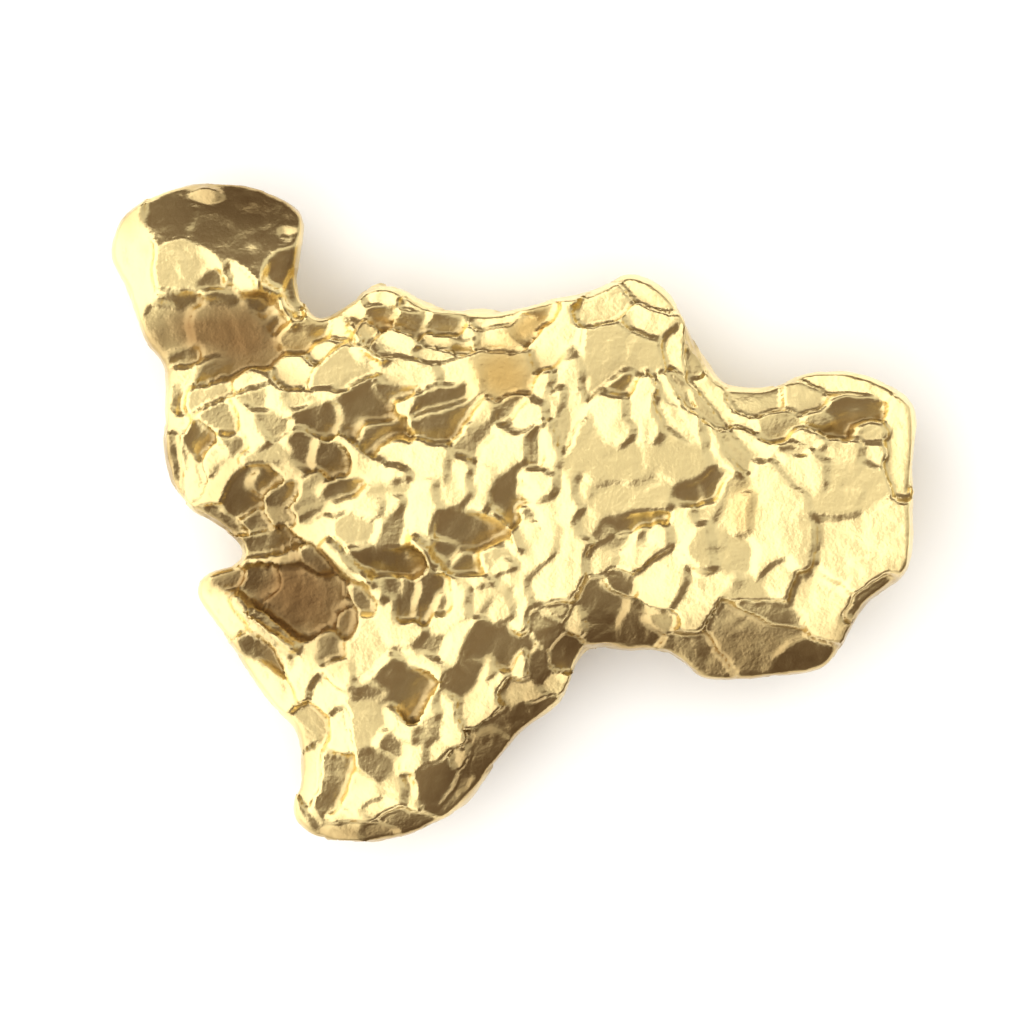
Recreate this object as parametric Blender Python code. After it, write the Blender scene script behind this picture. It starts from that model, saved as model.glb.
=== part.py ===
"""A gold nugget, one solid of native metal, lying on the worn side that the stream bed left flat.

+X runs along the nugget's longest way, +Z is up, and the origin is under the middle of its outline,
on the surface that it rests on. Lengths are in millimetres until the finished mesh is scaled to metres.
"""

import math

import bmesh
import bpy
import numpy as np
from mathutils import Matrix, Vector, noise

MM = 0.001

# Heights, seen from the side.
EQUATOR = 2.6  # where the outline is widest, above the resting plane
RIM_RISE = 0.95  # shoulder above the equator, just inside the outline
CROWN_RISE = 2.05  # plain top above the equator, before its lumps and facets
DOME_REACH = 2.3  # how far in from the outline the top goes on rising
BELLY_DROP = 2.6  # underside below the equator; what passes the resting plane is worn flat
BELLY_EDGE = 2.7  # rounding of the outline towards the underside

# The hackly surface: facets above, rounded lumps on the sides and below.
FACET_SHARPNESS = 8.0  # how crisply neighbouring facets meet
FACET_HOLD = 0.1  # how firmly a facet keeps its own height against its neighbours'
PLAIN_GROUND = 2.4  # how far out of a facet, in its own widths, the plain surface takes over
HACKLES = [(2.1, 0.4, 0.15), (0.8, 0.2, 0.08)]  # size of the lumps, their bulge and their tilt
HACKLE_LIFT = 0.16  # how far the lumps' crests stand out
CROWN_HACKLES = 0.5  # share of the lumps on the steep parts of the top
SIDE_WIDTH = 0.8  # how far in from the outline the sides count
SIDE_DROP = 0.12  # keeps the lumps of the sides behind the top edge
LEAST_SIDE = 0.15  # share of the lumps that is left right at the top edge
STEEP_NORMAL = 0.85  # a surface whose normal points up less than this starts to get lumps
STEEP_RANGE = 0.5  # how much further it has to turn before it gets all of them
LUMP_MIX = 40  # sets which way each lump tilts

# Mesh fineness.
OUTLINE_STEPS = 5  # straight pieces between two outline points
OUTLINE_GROWTH = 0.13  # makes up for what the voxels take off the outline
PLATE_VOXEL = 0.26
BODY_VOXEL = 0.14
MOST_TRIANGLES = 9600

# The outline seen from above, clockwise from the head's left side: x, y and the rounding of the top edge.
OUTLINE = [
    (-10.0, 6.5, 0.2), (-9.8, 7.25, 0.2), (-9.3, 7.7, 0.2), (-8.6, 8.05, 0.23), (-7.9, 8.2, 0.16),
    (-7.2, 8.25, 0.13), (-6.5, 8.15, 0.13), (-5.9, 7.9, 0.13), (-5.4, 7.58, 0.13),
    (-5.23, 7.2, 0.14), (-5.32, 6.3, 0.21), (-5.34, 5.6, 0.2), (-5.15, 5.08, 0.2),
    (-4.85, 4.82, 0.19), (-4.5, 4.9, 0.19), (-4.05, 5.2, 0.19), (-3.7, 5.48, 0.19),
    (-3.2, 5.65, 0.19), (-2.7, 5.45, 0.19), (-2.1, 5.1, 0.19), (-1.4, 5.0, 0.19),
    (-0.6, 4.95, 0.19), (0.0, 5.02, 0.19), (1.0, 5.28, 0.19), (1.8, 5.4, 0.19), (2.3, 5.62, 0.19),
    (2.8, 5.9, 0.19), (3.25, 5.82, 0.19), (3.7, 5.55, 0.2), (4.1, 5.1, 0.2), (4.45, 4.4, 0.2),
    (4.75, 3.75, 0.2), (5.05, 3.3, 0.19), (5.5, 3.1, 0.19), (6.3, 3.12, 0.19), (7.1, 3.42, 0.19),
    (7.8, 3.5, 0.19), (8.6, 3.42, 0.19), (9.3, 3.15, 0.19), (9.8, 2.8, 0.19), (9.98, 2.3, 0.19),
    (9.95, 1.6, 0.19), (9.88, 0.6, 0.19), (9.88, -0.6, 0.19), (9.78, -1.35, 0.19),
    (9.35, -1.85, 0.2), (8.8, -2.25, 0.15), (8.4, -2.8, 0.13), (8.1, -3.4, 0.12),
    (7.74, -3.86, 0.12), (7.0, -4.05, 0.12), (6.0, -4.1, 0.12), (5.1, -4.15, 0.12),
    (4.6, -4.06, 0.12), (4.1, -3.65, 0.13), (3.5, -3.42, 0.14), (2.8, -3.42, 0.14),
    (2.15, -3.3, 0.14), (1.75, -3.55, 0.22), (1.46, -4.12, 0.15), (1.22, -4.65, 0.13),
    (0.8, -5.0, 0.12), (0.28, -5.38, 0.12), (-0.1, -5.82, 0.12), (-0.52, -6.35, 0.12),
    (-1.0, -6.95, 0.13), (-1.6, -7.5, 0.13), (-2.4, -7.95, 0.13), (-3.2, -8.15, 0.13),
    (-4.1, -8.2, 0.13), (-4.8, -8.1, 0.13), (-5.3, -7.75, 0.19), (-5.42, -7.3, 0.19),
    (-5.28, -6.6, 0.19), (-5.25, -5.9, 0.19), (-5.4, -5.35, 0.19), (-5.85, -4.95, 0.19),
    (-6.34, -4.33, 0.2), (-6.94, -3.43, 0.2), (-7.5, -2.6, 0.19), (-7.82, -2.1, 0.19),
    (-7.75, -1.7, 0.18), (-7.35, -1.48, 0.17), (-6.9, -1.35, 0.17), (-6.68, -1.08, 0.17),
    (-6.85, -0.7, 0.18), (-7.42, -0.28, 0.19), (-8.02, 0.07, 0.19), (-8.42, 0.55, 0.19),
    (-8.62, 1.2, 0.19), (-8.68, 2.0, 0.19), (-8.6, 3.3, 0.19), (-8.75, 3.82, 0.19),
    (-9.1, 4.2, 0.19), (-9.35, 4.8, 0.2), (-9.6, 5.6, 0.2), (-9.88, 6.1, 0.2),
]

# Broad swells of the top: x, y, half length, half width, turn of its length in degrees, rise.
CROWN_SWELLS = [
    (-1.6, 0.6, 4.6, 3.2, 0, 0.35), (3.4, 2.4, 2.4, 2.6, 0, 0.3), (-7.6, 7.2, 2.4, 1.9, 0, -0.4),
    (-7.2, 4.4, 1.8, 1.2, 0, -0.35), (9.6, 0.2, 3.2, 3.0, 0, 0.42), (-4.2, -7.0, 2.0, 1.8, 0, -0.3),
    (-7.2, -2.2, 1.2, 1.0, 0, -0.3), (6.0, -3.6, 2.4, 1.0, 0, -0.2),
]

# Thin ridges: half width, rise, and the points that the crest follows.
CROWN_RIDGES = [
    (0.16, 0.25, [(-6.2, 5.6), (-5.8, 5.25), (-5.5, 4.8)]),
    (0.16, 0.25, [(-4.0, 4.6), (-3.7, 4.1), (-3.2, 3.8)]),
    (0.14, 0.30, [(-6.6, -2.5), (-6.0, -3.0), (-5.5, -3.4)]),
    (0.14, 0.35, [(-4.6, -0.8), (-4.1, -1.25), (-3.6, -1.7)]),
    (0.13, 0.35, [(-2.4, -0.8), (-2.0, -1.2), (-1.6, -1.55)]),
    (0.12, 0.20, [(-0.5, 0.0), (-0.1, -0.4), (0.1, -0.9)]),
]

# The facets and pits of the top: x, y, half length, half width, turn, how many degrees the facet leans,
# the side that it leans down to (0 is +X, 90 is +Y) and its lift.
CROWN_FACETS = [
    # head: bright left rim, dark back, flat, blobs
    (-9.42, 6.65, 1.35, 0.42, 100, 13, 180, 0), (-8.45, 7.25, 0.75, 0.5, 25, 28, 95, -0.05),
    (-6.85, 6.9, 1.35, 0.95, -20, 26, 90, 0), (-5.75, 6.2, 0.5, 0.4, 80, 24, 310, 0),
    (-7.65, 7.85, 0.38, 0.24, 0, 9, 200, 0.12), (-8.2, 6.15, 0.8, 0.68, -10, 2, 0, 0),
    (-7.55, 5.8, 0.32, 0.28, 35, 22, 305, -0.22), (-6.75, 5.8, 0.6, 0.22, -45, 13, 200, 0.1),
    # neck: stained hollow between blobs
    (-7, 4.5, 1, 0.95, 0, 7, 300, -0.5), (-7.1, 5.3, 0.6, 0.22, -10, 26, 305, -0.2),
    (-7.45, 3.6, 0.55, 0.35, 35, 18, 305, -0.4), (-6.25, 5.1, 0.7, 0.34, -30, 28, 300, -0.3),
    (-8.5, 4.55, 0.55, 0.8, 0, 5, 310, -0.15), (-5.9, 4.78, 0.45, 0.4, 0, 28, 305, -0.3),
    (-8.25, 5.25, 0.6, 0.22, 0, 24, 305, -0.2), (-8, 3.42, 0.45, 0.26, 22, 9, 190, 0.1),
    (-5.5, 4.4, 0.45, 0.3, -20, 12, 310, -0.1),
    # left body
    (-7.6, 2.95, 0.6, 0.26, 25, 2, 310, 0.08), (-6.45, 3.3, 0.45, 0.24, 8, 9, 180, 0.2),
    (-5.75, 2.8, 0.4, 0.24, -60, 11, 190, 0.15), (-7.25, 2.25, 0.5, 0.35, 0, 10, 320, 0),
    (-6.25, 2.85, 0.35, 0.25, 0, 10, 310, 0), (-6.55, 2.1, 0.52, 0.24, -65, 12, 195, 0.2),
    (-7.9, 1.75, 0.36, 0.34, 0, 26, 305, -0.2), (-8.2, 3.85, 0.55, 0.24, 20, 24, 305, -0.15),
    (-7, 1.7, 0.36, 0.28, 0, 14, 320, 0), (-7.4, 1.3, 0.42, 0.28, 60, 9.5, 190, 0.3),
    (-6.2, 1.35, 0.6, 0.22, 0, 3, 0, 0.05), (-7.95, 1, 0.5, 0.26, 100, 12, 185, 0),
    (-7.25, 0.78, 0.7, 0.26, 60, 12, 185, 0.12), (-6.7, 0.42, 0.6, 0.36, 60, 26, 305, -0.3),
    (-6.25, 0.7, 0.5, 0.3, 20, 28, 305, -0.25), (-7.1, -0.25, 0.6, 0.22, -30, 14, 305, 0),
    (-6.45, -0.3, 0.35, 0.25, 0, 18, 310, -0.1), (-5.8, 0.45, 0.45, 0.3, 0, 22, 305, -0.15),
    (-6.2, -0.75, 0.7, 0.3, 0, 20, 310, -0.17), (-5.1, 0.15, 0.5, 0.25, 0, 12, 310, -0.05),
    (-4.95, 0.65, 0.4, 0.22, 50, 8, 310, 0), (-5.65, 0.95, 0.5, 0.24, 0, 5, 190, 0),
    (-5.18, 1.52, 0.5, 0.28, 90, 22, 310, -0.15),
    # upper middle: bright shoulder, grooves, hackly pits
    (-5.4, 3.55, 0.48, 0.34, 30, 10, 170, 0.05), (-4.35, 4.58, 0.5, 0.25, 50, 10, 180, 0.1),
    (-4.75, 4.5, 0.3, 0.26, 0, 20, 310, -0.05), (-4.25, 3.6, 0.62, 0.42, 20, 3, 0, 0.1),
    (-4, 5.05, 0.6, 0.34, 58, 9, 190, 0.25), (-3.3, 4.95, 0.36, 0.26, 30, 22, 305, -0.2),
    (-3.2, 5.38, 0.6, 0.24, 0, 9, 190, 0.05), (-2.4, 4.75, 0.5, 0.25, 0, 16, 310, -0.13),
    (-1.65, 4.7, 0.6, 0.3, 0, 22, 305, -0.15), (-2.8, 4.15, 0.6, 0.27, -10, 9, 190, 0.15),
    (-1.2, 4.45, 0.45, 0.25, 40, 8, 190, 0.06), (-1.35, 3.5, 0.5, 0.25, 5, 9, 180, 0),
    (-3.8, 2.5, 0.8, 0.5, 25, 26, 305, -0.3), (-3.35, 2.05, 0.75, 0.36, -20, 26, 305, -0.3),
    (-3.05, 3, 0.34, 0.22, 0, 26, 305, -0.2), (-4.7, 2.3, 0.62, 0.34, 0, 24, 305, -0.25),
    (-4.65, 1.35, 0.55, 0.38, 0, 22, 305, -0.22), (-1.6, 2.35, 0.75, 0.36, 30, 26, 305, -0.24),
    (-1.5, 2.88, 0.66, 0.26, 25, 20, 305, -0.12), (-0.95, 3.2, 0.45, 0.22, 70, 8, 190, 0.08),
    (-2.1, 2.05, 0.4, 0.25, 0, 24, 305, -0.22), (-2.7, 2.65, 0.24, 0.22, 0, 11, 190, 0.1),
    (-3, 1.68, 0.4, 0.28, -30, 9, 190, 0.2), (-2.1, 1.3, 0.5, 0.36, -30, 8.5, 180, 0.08),
    (-1.2, 1.65, 0.28, 0.3, 0, 11, 310, 0), (-1.35, 1.12, 0.38, 0.24, 70, 8.5, 185, 0.08),
    # centre
    (-3.6, 0.15, 0.45, 0.26, 0, 8, 180, 0.1), (-3.95, -0.4, 0.5, 0.36, 0, 3, 0, 0.05),
    (-2.95, -0.5, 0.35, 0.42, 0, 13, 320, 0), (-3.1, 0.1, 0.3, 0.25, 60, 8, 190, 0.05),
    (-2.2, 0, 0.55, 0.3, 90, 11, 180, 0.12), (-2.3, -0.9, 0.5, 0.32, 100, 7.5, 190, 0.3),
    (-1.3, -0.45, 0.65, 0.42, -20, 24, 305, -0.26), (-1.45, 0.4, 0.45, 0.26, 0, 6, 185, 0.05),
    (-1.75, -1.05, 0.4, 0.3, 0, 28, 305, -0.28), (-1.2, -1.28, 0.5, 0.26, -10, 26, 305, -0.22),
    (-1.02, -1.72, 0.4, 0.24, 0, 8, 190, 0.1), (-0.3, 3.4, 0.6, 0.55, 0, 7, 10, -0.05),
    (0.3, 4.6, 0.45, 0.26, 30, 10, 60, -0.1), (0.7, 4.85, 0.45, 0.3, 20, 13, 310, -0.05),
    (-0.6, 4.75, 0.5, 0.22, 0, 7, 190, 0), (1.15, 4.2, 0.85, 0.42, 90, 10, 185, 0),
    (1.25, 3.5, 0.7, 0.3, 75, 8.5, 185, 0.2), (0.75, 3.1, 0.4, 0.22, 60, 8.5, 185, 0.1),
    (-0.3, 4.35, 0.5, 0.25, 0, 8, 185, 0), (0.25, 2.3, 0.6, 0.28, 55, 9, 170, 0.1),
    (-0.05, 2.65, 0.4, 0.24, 50, 16, 310, 0), (-0.8, 2.4, 0.4, 0.22, 60, 5, 190, 0.05),
    (-0.1, 1.5, 0.75, 0.42, 50, 9, 180, 0.14), (-0.62, 0.85, 0.5, 0.25, 70, 9, 180, 0.08),
    (-0.88, 0.28, 0.36, 0.22, 30, 8.5, 190, 0.1), (-0.95, 2, 0.3, 0.26, 0, 14, 310, -0.05),
    (0.5, 0.78, 0.42, 0.22, -15, 10, 190, 0.15), (-0.1, 0.4, 0.85, 0.4, 80, 26, 305, -0.25),
    (0.55, -0.65, 0.75, 0.5, 30, 9, 185, 0.08), (1.35, 0.15, 0.55, 0.24, 90, 10, 180, 0.1),
    (1.35, -0.6, 0.45, 0.4, 90, 8.5, 190, 0.16), (-0.5, -1.2, 0.5, 0.26, 20, 5, 310, 0),
    (1.2, -1.6, 0.75, 0.42, 60, 8.5, 190, 0.2), (1.05, -2.35, 0.36, 0.22, 0, 11, 310, 0),
    (0.9, -3, 0.3, 0.28, 0, 14, 310, 0),
    # upper right: broad flats, strokes and diagonals
    (2.7, 4.1, 0.95, 0.6, 0, 3, 0, 0.05), (2.2, 5, 0.5, 0.26, 15, 4, 180, 0),
    (3.5, 5.3, 0.5, 0.22, -40, 8, 180, 0), (3.45, 4.55, 0.75, 0.36, -5, 8.5, 190, 0.16),
    (4.02, 4.1, 0.6, 0.27, 100, 9, 185, 0.08), (2.45, 2.35, 0.55, 0.24, 80, 10, 180, 0.1),
    (3.2, 2.6, 0.7, 0.24, 92, 10, 180, 0.1), (4.25, 2.15, 0.65, 0.28, -45, 9, 200, 0.1),
    (5.85, 1.85, 0.45, 0.22, -50, 8, 200, 0.05), (2.55, 1.2, 0.75, 0.5, 0, 2, 0, 0),
    (3.95, 1.25, 0.75, 0.55, -10, 2, 330, 0), (3.1, 0.5, 0.9, 0.4, 0, 2, 60, 0),
    (4.4, 0.5, 0.5, 0.22, 10, 26, 305, -0.2), (4.95, 0.65, 0.42, 0.26, 30, 26, 305, -0.18),
    (2.9, -0.3, 0.6, 0.22, 10, 24, 305, -0.15), (1.85, -0.4, 0.3, 0.26, 0, 4, 190, 0.02),
    (2.1, -1.3, 0.36, 0.26, 0, 3.5, 190, 0), (2.58, -1.8, 0.42, 0.3, 0, 20, 310, -0.08),
    (3, -1.2, 0.55, 0.3, 45, 8, 190, 0.15), (4.2, -0.2, 0.45, 0.25, 80, 8, 180, 0.05),
    (4.7, -1, 0.42, 0.3, 80, 3, 310, 0.14), (3.7, -1.75, 0.6, 0.48, 0, 10, 190, 0.05),
    (3.6, -2.7, 0.45, 0.22, 0, 4, 310, 0), (4.5, -2.25, 0.85, 0.36, 85, 8.3, 190, 0.22),
    (4.5, -3.5, 0.5, 0.5, 0, 11, 295, 0), (5.3, -0.9, 0.5, 0.38, 0, 4, 0, 0),
    (5.55, 0, 0.6, 0.35, 90, 6.5, 180, 0.05), (5.45, 0.55, 0.35, 0.28, 0, 9, 310, 0),
    (5, -1.7, 0.48, 0.22, -10, 8, 190, 0.05),
    # right lobe
    (5.9, 2.75, 0.6, 0.25, 0, 14, 70, 0), (6.6, 2.15, 0.4, 0.28, 0, 9, 310, 0),
    (6.45, -0.1, 0.9, 0.55, 95, 8, 180, 0.05), (7.2, 1.05, 0.7, 0.36, -40, 8.3, 190, 0.06),
    (8.4, 0.6, 0.8, 0.6, 20, 1.8, 60, 0), (7.15, -0.95, 0.65, 0.3, 98, 3.2, 185, 0.12),
    (8.7, -0.95, 1.3, 0.85, 28, 7.3, 190, 0.2), (7.75, -2.2, 0.95, 0.52, -45, 7.8, 190, 0.15),
    (8.3, 2.5, 0.8, 0.4, 15, 24, 305, -0.22), (7.2, 2.75, 0.45, 0.24, 0, 9, 60, 0),
    (8.7, 3.08, 0.85, 0.28, -12, 9.5, 190, 0.12), (9.5, 1.8, 1.15, 0.27, 93, 9.5, 190, 0.04),
    (8.9, 1.45, 0.35, 0.28, 0, 8.5, 190, 0.05), (8.15, 1.5, 0.6, 0.25, 0, 4, 185, 0),
    (5.9, -2, 0.6, 0.28, -10, 4, 320, 0.03), (6.7, -1.7, 0.4, 0.34, 60, 7.5, 190, 0.05),
    (6.3, -2.45, 0.65, 0.28, -15, 13, 300, -0.05), (5.75, -3.05, 1, 0.45, -5, 9.5, 290, 0.05),
    (7.3, -3.52, 0.6, 0.3, 0, 26, 300, 0), (8.75, -2.2, 0.8, 0.23, 42, 16, 310, 0),
    # saddle
    (2.25, -2.3, 0.65, 0.38, -65, 20, 320, -0.17), (3, -2.8, 0.5, 0.38, 0, 20, 290, -0.1),
    # lower left: spur and the big stained hollow
    (-5.35, -2.1, 1, 0.8, -25, 10, 300, -0.8), (-4.9, -1.25, 0.45, 0.3, -20, 24, 290, -0.43),
    (-6.15, -1.8, 0.45, 0.4, 0, 15, 300, -0.6), (-5.75, -1.2, 0.5, 0.26, 0, 5, 190, 0.1),
    (-7.42, -2.32, 0.65, 0.27, -48, 12, 195, 0.05), (-6.25, -3.5, 0.6, 0.22, -35, 16, 305, -0.12),
    (-6, -2.84, 0.85, 0.3, -40, 7.5, 195, 0.3), (-6, -4.3, 0.6, 0.32, -52, 10, 200, 0),
    (-5.1, -3.82, 0.62, 0.27, 75, 8.5, 190, 0.15), (-4.6, -3.35, 0.36, 0.34, 80, 13, 310, -0.1),
    (-4.35, -3.95, 0.35, 0.24, 90, 8, 190, 0.08), (-4.15, -2.75, 0.28, 0.35, 0, 16, 310, -0.2),
    (-4.7, -4.55, 0.5, 0.28, -65, 10, 190, 0.05), (-4.3, -5.45, 0.52, 0.22, -75, 11, 190, 0.05),
    (-5.1, -5.2, 0.45, 0.36, 0, 3.2, 310, -0.05), (-3.35, -1.95, 0.5, 0.22, -50, 10, 190, 0.05),
    (-3.1, -2.6, 0.55, 0.28, 80, 8.5, 190, 0.08), (-3.72, -2.2, 0.42, 0.22, -50, 13, 310, -0.05),
    (-3.1, -1.18, 0.85, 0.26, -8, 28, 300, -0.2), (-3, -1.95, 0.28, 0.28, 0, 18, 305, -0.1),
    (-2, -1.65, 0.35, 0.22, -30, 24, 305, -0.13), (-2.6, -2.25, 0.45, 0.32, 90, 24, 305, -0.22),
    (-2.2, -2.3, 0.4, 0.32, 90, 26, 305, -0.2), (-1.35, -2.2, 0.5, 0.22, 90, 10, 180, 0.1),
    (-1.85, -2.7, 0.35, 0.28, 70, 8.5, 190, 0.08), (-2.4, -2.9, 0.3, 0.24, 90, 9, 190, 0.05),
    (-2.1, -3.2, 0.38, 0.24, 0, 13, 310, -0.05), (-2.7, -2.95, 0.4, 0.27, 60, 8.5, 190, 0.13),
    (-0.35, -2.45, 0.25, 0.25, 0, 9, 190, 0.05), (0.75, -2.75, 0.35, 0.28, 0, 12, 320, -0.05),
    (-0.75, -2.15, 0.3, 0.3, 0, 5, 180, 0), (-3.6, -3.1, 0.5, 0.52, 0, 3.6, 180, 0),
    (-2.3, -3.8, 0.6, 0.22, -30, 9, 190, 0.08),
    # lower lobe
    (-2.6, -4.33, 0.72, 0.5, 90, 26, 305, -0.3), (-3.65, -5.2, 0.52, 0.38, 90, 3, 0, 0),
    (-2.65, -5.28, 0.6, 0.26, -60, 8.5, 190, 0.2), (-2.05, -4.85, 0.45, 0.28, 80, 8, 190, 0.12),
    (-1.75, -4.65, 0.25, 0.25, 0, 9, 190, 0), (-0.4, -3.3, 0.7, 0.42, 0, 26, 305, -0.18),
    (-1.25, -4.15, 0.45, 0.28, 10, 26, 305, -0.17), (-0.65, -4.75, 0.65, 0.32, 70, 8.5, 190, 0.12),
    (0.35, -4.45, 0.6, 0.3, 10, 5, 190, 0.03), (0.1, -5.15, 0.95, 0.28, 25, 19, 300, 0),
    (-0.65, -5.8, 0.8, 0.32, 50, 17, 305, 0), (-2, -6.8, 0.55, 0.42, 30, 28, 310, 0),
    (-1.35, -6.95, 0.45, 0.22, 50, 8, 300, 0), (-3.5, -7.3, 0.4, 0.25, 0, 7, 190, 0),
    (-2.6, -7.75, 0.55, 0.24, -15, 14, 300, 0), (-3.4, -6.25, 0.5, 0.32, 0, 14, 310, -0.08),
    (-2.95, -5.85, 0.5, 0.24, -40, 15, 310, -0.05), (-4.4, -6.75, 0.25, 0.32, 0, 16, 305, -0.1),
    (-4.35, -6.3, 0.32, 0.22, 0, 14, 305, -0.12), (-4.68, -7.4, 0.5, 0.22, 75, 22, 305, -0.15),
    (-3.75, -7, 0.55, 0.48, 90, 8, 195, 0.05), (-5, -7.65, 0.35, 0.25, -30, 16, 310, 0),
    (-2.45, -6, 0.45, 0.28, 60, 8, 190, 0.05), (-2.95, -6.85, 0.35, 0.28, 0, 5, 190, 0),
    (-2, -5.1, 0.3, 0.22, 0, 6, 310, 0),
]

# The underside: three broad swells carry the nugget, and the ends and hollows rise clear of the ground.
BELLY_SWELLS = [
    # three worn feet
    (-6.3, 3.4, 1.7, 1.6, 0, -0.75), (-3.3, -4.4, 1.6, 1.7, 20, -0.65), (6.2, -0.6, 2.0, 1.9, 0, -0.65),
    # ends that rise and hollows
    (-9.0, 7.0, 1.9, 1.7, 0, 1.0), (9.4, 0.6, 1.5, 2.8, 0, 1.0), (-4.3, -7.6, 2.0, 1.5, 0, 0.9),
    (2.9, 5.2, 1.8, 1.4, 0, 0.8), (2.6, -2.7, 1.8, 1.2, 0, 0.7), (-8.5, 1.6, 1.2, 1.6, 0, 0.7),
    (-2.0, 1.6, 1.6, 1.3, 20, 0.5), (2.4, 1.9, 1.5, 1.9, -25, 0.6), (-1.2, -2.3, 1.7, 0.9, 30, 0.5),
    (-6.2, -2.2, 1.4, 1.2, 40, 0.7), (-3.0, 4.3, 1.8, 1.0, 0, 0.6),
]


def smooth_outline(points, steps):
    """A closed Catmull-Rom curve through the points, each with its edge rounding."""
    p = np.array(points)
    before, after, beyond = np.roll(p, 1, 0), np.roll(p, -1, 0), np.roll(p, -2, 0)
    curve = []
    for t in np.arange(steps) / steps:
        straight = 2 * p + (after - before) * t
        bend = (2 * before - 5 * p + 4 * after - beyond) * t**2
        twist = (3 * p - before - 3 * after + beyond) * t**3
        curve.append((straight + bend + twist) / 2)
    return np.stack(curve, axis=1).reshape(-1, p.shape[1])


def grown_outline(curve, by):
    """A clockwise curve pushed outward."""
    way = np.roll(curve[:, :2], -1, 0) - np.roll(curve[:, :2], 1, 0)
    way /= np.linalg.norm(way, axis=1)[:, None]
    grown = curve.copy()
    grown[:, :2] += by * np.stack([-way[:, 1], way[:, 0]], axis=1)
    return grown


def plate(outline, half_thickness):
    """A flat slab of the outline's shape, centred on the equator."""
    bm = bmesh.new()
    rim = [bm.verts.new((x, y, EQUATOR - half_thickness)) for x, y, _ in outline]
    made = bmesh.ops.extrude_face_region(bm, geom=[bm.faces.new(rim)])
    lifted = [v for v in made["geom"] if isinstance(v, bmesh.types.BMVert)]
    bmesh.ops.translate(bm, verts=lifted, vec=(0, 0, 2 * half_thickness))
    bmesh.ops.recalc_face_normals(bm, faces=bm.faces)
    mesh = bpy.data.meshes.new("plate")
    bm.to_mesh(mesh)
    bm.free()
    return mesh


def with_modifier(mesh, kind, **settings):
    """The mesh as one of Blender's modifiers leaves it."""
    obj = bpy.data.objects.new("workpiece", mesh)
    bpy.context.collection.objects.link(obj)
    modifier = obj.modifiers.new(kind.lower(), kind)
    for name, value in settings.items():
        setattr(modifier, name, value)
    graph = bpy.context.evaluated_depsgraph_get()
    made = bpy.data.meshes.new_from_object(obj.evaluated_get(graph))
    bpy.data.objects.remove(obj)
    return made


def points_of(mesh):
    points = np.empty(len(mesh.vertices) * 3, np.float32)
    mesh.vertices.foreach_get("co", points)
    return points.reshape(-1, 3).astype(float)


def normals_of(mesh):
    normals = np.empty(len(mesh.vertices) * 3, np.float32)
    mesh.vertices.foreach_get("normal", normals)
    return normals.reshape(-1, 3).astype(float)


def set_points(mesh, points):
    mesh.vertices.foreach_set("co", points.astype(np.float32).ravel())
    mesh.update()


def distance_to_line(xy, line):
    """How far each point is from a line of points, and where along the line it is nearest, from 0 on."""
    best = np.full(len(xy), np.inf)
    place = np.zeros(len(xy))
    for i, (start, end) in enumerate(zip(line[:-1], line[1:])):
        way = end - start
        t = np.clip((xy - start) @ way / (way @ way), 0, 1)
        away = np.linalg.norm(xy - start - t[:, None] * way, axis=1)
        nearer = away < best
        best[nearer] = away[nearer]
        place[nearer] = i + t[nearer]
    return best, place


def edge_profile(inward, radius):
    """The quarter round of the nugget's edge: 0 at the outline, 1 where the rounding ends."""
    return np.sqrt(1 - (1 - np.clip(inward / radius, 0, 1)) ** 2)


def along_and_across(xy, x, y, turn):
    """The points as seen from a feature at x, y whose length is turned by that many degrees."""
    a = math.radians(turn)
    offset = xy - (x, y)
    return offset @ (math.cos(a), math.sin(a)), offset @ (-math.sin(a), math.cos(a))


def swell_rise(xy, swells):
    """The summed rise of broad round lumps and hollows."""
    rise = np.zeros(len(xy))
    for x, y, length, width, turn, height in swells:
        along, across = along_and_across(xy, x, y, turn)
        rise += height * np.exp(-((along / length) ** 2) - (across / width) ** 2)
    return rise


def ridge_rise(xy):
    """The summed rise of the thin ridges, each a round crest along its points."""
    rise = np.zeros(len(xy))
    for half_width, height, crest in CROWN_RIDGES:
        away, _ = distance_to_line(xy, np.array(crest))
        rise += height * np.exp(-((away / half_width) ** 2))
    return rise


def plain_crown(xy, inward):
    """Height of the top above the equator without its facets."""
    climb = 1 - (1 - np.clip(inward / DOME_REACH, 0, 1)) ** 2
    return RIM_RISE + (CROWN_RISE - RIM_RISE) * climb + swell_rise(xy, CROWN_SWELLS)


def facet_shares(xy, plain):
    """How far each facet counts at each place, its plane's rise there, and the mean without heights."""
    weights = []
    rises = []
    for x, y, length, width, turn, lean, side, _ in CROWN_FACETS:
        along, across = along_and_across(xy, x, y, turn)
        downhill, _ = along_and_across(xy, x, y, side)
        weights.append(np.exp(-FACET_SHARPNESS * ((along / length) ** 2 + (across / width) ** 2)))
        rises.append(-math.tan(math.radians(lean)) * downhill)
    weights = np.array(weights)
    rises = np.array(rises)
    ground = math.exp(-FACET_SHARPNESS * PLAIN_GROUND**2)
    total = ground + weights.sum(0)
    shares = weights / total
    return shares, rises, ground / total * plain + (shares * rises).sum(0)


def settled_heights(xy, plain, wanted):
    """Heights of the facets' middles at which the facets best meet their neighbours (least squares)."""
    shares, rises, mean = facet_shares(xy, plain)
    size = shares.sum(1)
    hold = FACET_HOLD * size
    meeting = (shares * (mean - rises)).sum(1)
    return np.linalg.solve(np.diag(size + hold) - shares @ shares.T, meeting + hold * wanted)


def faceted_crown(xy, plain, heights):
    """Height of the top with its facets: leaning planes, each taking over near its own middle."""
    shares, _, mean = facet_shares(xy, plain)
    return mean + heights @ shares + ridge_rise(xy)


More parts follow.
